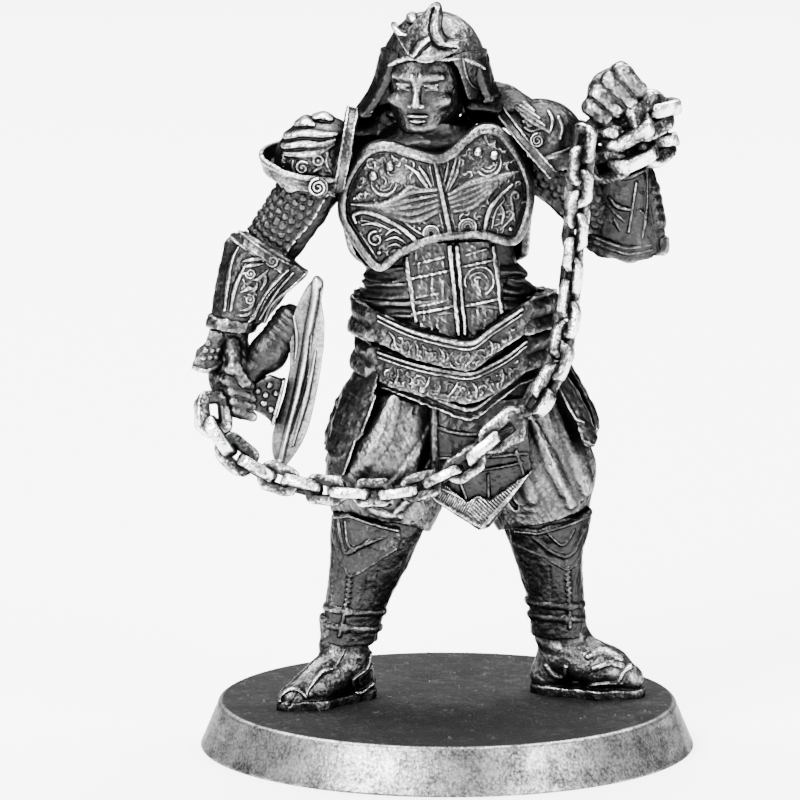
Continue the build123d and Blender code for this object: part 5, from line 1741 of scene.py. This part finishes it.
def metal(name, colours, rough, sharp=0.5, broad=0.3, wear_noise=0.25, offset=0.0, shade=0.75, bump=0.06,
          grain=4.5,
          brushed=None, edge=0.35):
    """Cast metal with a dark wash and painted shade. colours runs from the deepest recess to the most worn
    edge, and shade says how strongly an occlusion term paints shade where parts crowd close.
    """
    s = Shader(name)
    proud = s.math("MULTIPLY", s.attribute("sharp"), sharp)
    proud = s.math("ADD", proud, s.math("MULTIPLY", s.attribute("broad"), broad))
    rubbed = s.math("ADD", s.math("MULTIPLY", s.noise(0.7, 3), 3.2), -0.8, clamp=True)
    proud = s.math("MULTIPLY", proud, s.math("ADD", rubbed, 0.35))
    # The piece's tone, partly painted shade, shifts the colour lighter or darker.
    proud = s.math("ADD", proud, s.attribute("tone"))
    # Painted shade: the occlusion term darkens the colour in hollows and where other parts crowd close,
    # under the pauldrons and between plates. In a piece's own hollows it goes with the wash.
    open_to_sky = s.node("ShaderNodeAmbientOcclusion", {"Distance": 0.9 * MM}, samples=6).outputs["AO"]
    painted_shade = s.math("MULTIPLY", s.math("SUBTRACT", open_to_sky, 0.75), shade)
    patches = s.math("MULTIPLY", s.math("SUBTRACT", s.noise(0.9, 4), 0.5), wear_noise * 1.6)
    specks = s.math("MULTIPLY", s.math("SUBTRACT", s.noise(7.0, 3), 0.5), wear_noise * 2.2)
    # The colour index: rubbing and the wash, plus painted shade from the occlusion term and from each
    # piece's tone.
    wear_and_shade = s.math("ADD", proud, s.math("ADD", painted_shade, s.math("ADD", patches, specks)))
    wear_and_shade = s.math("ADD", wear_and_shade, FLAT_WEAR + offset, clamp=True)
    s.feed(s.surface.inputs["Base Color"], s.ramp(wear_and_shade, colours))
    s.feed(s.surface.inputs["Roughness"], s.ramp(wear_and_shade, rough))
    s.feed(s.surface.inputs["Metallic"], 1.0)
    s.feed(s.surface.inputs["Specular Tint"], (edge, edge, edge, 1))
    height = s.noise(grain, 4) if brushed is None else s.noise(grain, 3, brushed)
    normal = s.node("ShaderNodeBump", {"Strength": 1.0, "Distance": bump * MM, "Height": height})
    s.feed(s.surface.inputs["Normal"], normal.outputs[0])
    return s.material


CAST = [(0.0, 0.017), (0.35, 0.019), (0.5, 0.024), (0.62, 0.042), (0.76, 0.15), (1.0, 0.78)]
CAST_ROUGH = [(0.0, 0.4), (0.4, 0.33), (0.7, 0.3), (1.0, 0.25)]
METALS = {
    "armour_metal": metal("worn_pewter", CAST, CAST_ROUGH),
    "cloth_metal": metal("washed_pewter", CAST, CAST_ROUGH, sharp=0.45, broad=0.35, offset=-0.02, bump=0.06,
                         grain=5,
                         wear_noise=0.14),
    "chain_metal": metal("rubbed_chain", CAST, CAST_ROUGH, sharp=0.7, broad=0.0, offset=-0.14,
                         wear_noise=0.5),
    "blade_metal": metal("ground_blade", [(0, 0.008), (0.4, 0.025), (0.55, 0.06), (0.7, 0.2), (1, 0.65)],
                         [(0, 0.42), (1, 0.28)], sharp=0.4, broad=0.25, offset=0.08, bump=0.012, grain=3,
                         brushed=(1.5, 1.5, 0.12)),
    "base_metal": metal("dark_base", [(0, 0.015), (0.4, 0.021), (0.55, 0.03), (0.75, 0.08), (1, 0.3)],
                        [(0, 0.75), (0.6, 0.6), (1, 0.4)], sharp=0.35, broad=0.0, offset=-0.1, shade=0.5,
                        bump=0.05),
    "rim_metal": metal("satin_rim", [(0, 0.015), (0.3, 0.04), (0.5, 0.12), (0.75, 0.3), (1, 0.5)],
                       [(0, 0.5), (1, 0.33)], sharp=0.3, broad=0.0, offset=-0.05, wear_noise=0.5, shade=0.2,
                       bump=0.02,
                       grain=5, brushed=(1, 1, 0.5)),
}

# ---- the pieces ---------------------------------------------------------------------------------------
with ThreadPoolExecutor(4) as pool:
    skins = list(pool.map(lambda entry: skin(entry[2]()), PIECES))
for (nodes, metal_slot, _), (points, quads, sharp, broad) in zip(PIECES, skins):
    # Each piece's tone, partly painted shade, goes onto its points together with the share that is rubbed
    # bright.
    shade, rubbed = next((value for start, value in TONES_AND_PAINTED_SHADE.items() if nodes[0].startswith(start)), (0, 1))
    values = {"sharp": sharp * rubbed, "broad": broad * rubbed, "tone": np.full(len(points), shade)}
    made = make_object(f"{nodes[0]}_cast", points, quads, values)
    finish_piece(made, nodes, metal_slot, METALS[metal_slot])

for node, (route, first_turn, sizes) in CHAINS.items():
    points, quads, sharp = chain(route, first_turn, sizes, 0.34 * ("wrist" not in node))
    made = make_object(f"{node}_cast", points, quads, {"sharp": sharp, "broad": np.zeros_like(sharp)})
    finish_piece(made, [node], "chain_metal", METALS["chain_metal"])

points, quads, sharp = base_disc()
made = make_object("base_cast", points, quads, {"sharp": sharp, "broad": np.zeros_like(sharp)})
finish_piece(made, ["base"], "base_metal", METALS["base_metal"])
made.data.materials.append(METALS["rim_metal"])
RIM_FROM = 11.45           # the brushed side of the base lies outside this radius
upright = np.ptp(points[quads][:, :, 2], axis=1) > 0.02
side_quads = (sharp[quads].min(1) > 0.2) & upright & (
    np.hypot(*(points[quads][:, :, :2].mean(1)).T) > RIM_FROM)
made.data.polygons.foreach_set("material_index", side_quads.astype(np.int32))

# ---- floor, camera and light --------------------------------------------------------------------------
bpy.ops.mesh.primitive_plane_add(size=4, location=(0, 0, 0))
floor = bpy.context.object
floor.name = "floor"
paper = Shader("pale_paper")
for key, value in {"Base Color": (0.93, 0.93, 0.93, 1), "Roughness": 0.9,
                   "Specular IOR Level": 0.1}.items():
    paper.feed(paper.surface.inputs[key], value)
floor.data.materials.append(paper.material)


def aim(thing, target):
    way = Vector(target) - thing.location
    thing.rotation_mode = "QUATERNION"
    thing.rotation_quaternion = way.to_track_quat("-Z", "Y")


AIM = (-2.39 * MM, 0, 17.6 * MM)
DISTANCE = 0.3
ELEVATION = math.radians(9.2)
camera = bpy.data.objects.new("camera", bpy.data.cameras.new("camera"))
bpy.context.collection.objects.link(camera)
camera.data.lens = 268.2
camera.data.sensor_width = 36
camera.data.clip_start, camera.data.clip_end = 0.01, 20
camera.location = (AIM[0], -DISTANCE * math.cos(ELEVATION), AIM[2] + DISTANCE * math.sin(ELEVATION))
aim(camera, AIM)
bpy.context.scene.camera = camera

LIGHTS = {   # place in metres, width and height in metres, power in watts
    "key_left": ((-0.26, -0.34, 0.30), (0.2, 0.3), 10),
    "fill_right": ((0.32, -0.30, 0.16), (0.12, 0.34), 3.5),
    "top": ((0.0, 0.25, 0.6), (0.9, 0.6), 40),
}
for name, (place, (width, height), power) in LIGHTS.items():
    lamp = bpy.data.lights.new(name, "AREA")
    lamp.shape, lamp.size, lamp.size_y, lamp.energy = "RECTANGLE", width, height, power
    holder = bpy.data.objects.new(name, lamp)
    bpy.context.collection.objects.link(holder)
    holder.location = place
    aim(holder, (0, 0, 15 * MM))

world = bpy.data.worlds.new("studio")
bpy.context.scene.world = world
world.use_nodes = True
world.node_tree.nodes["Background"].inputs["Color"].default_value = (1, 1, 1, 1)
world.node_tree.nodes["Background"].inputs["Strength"].default_value = 0.5
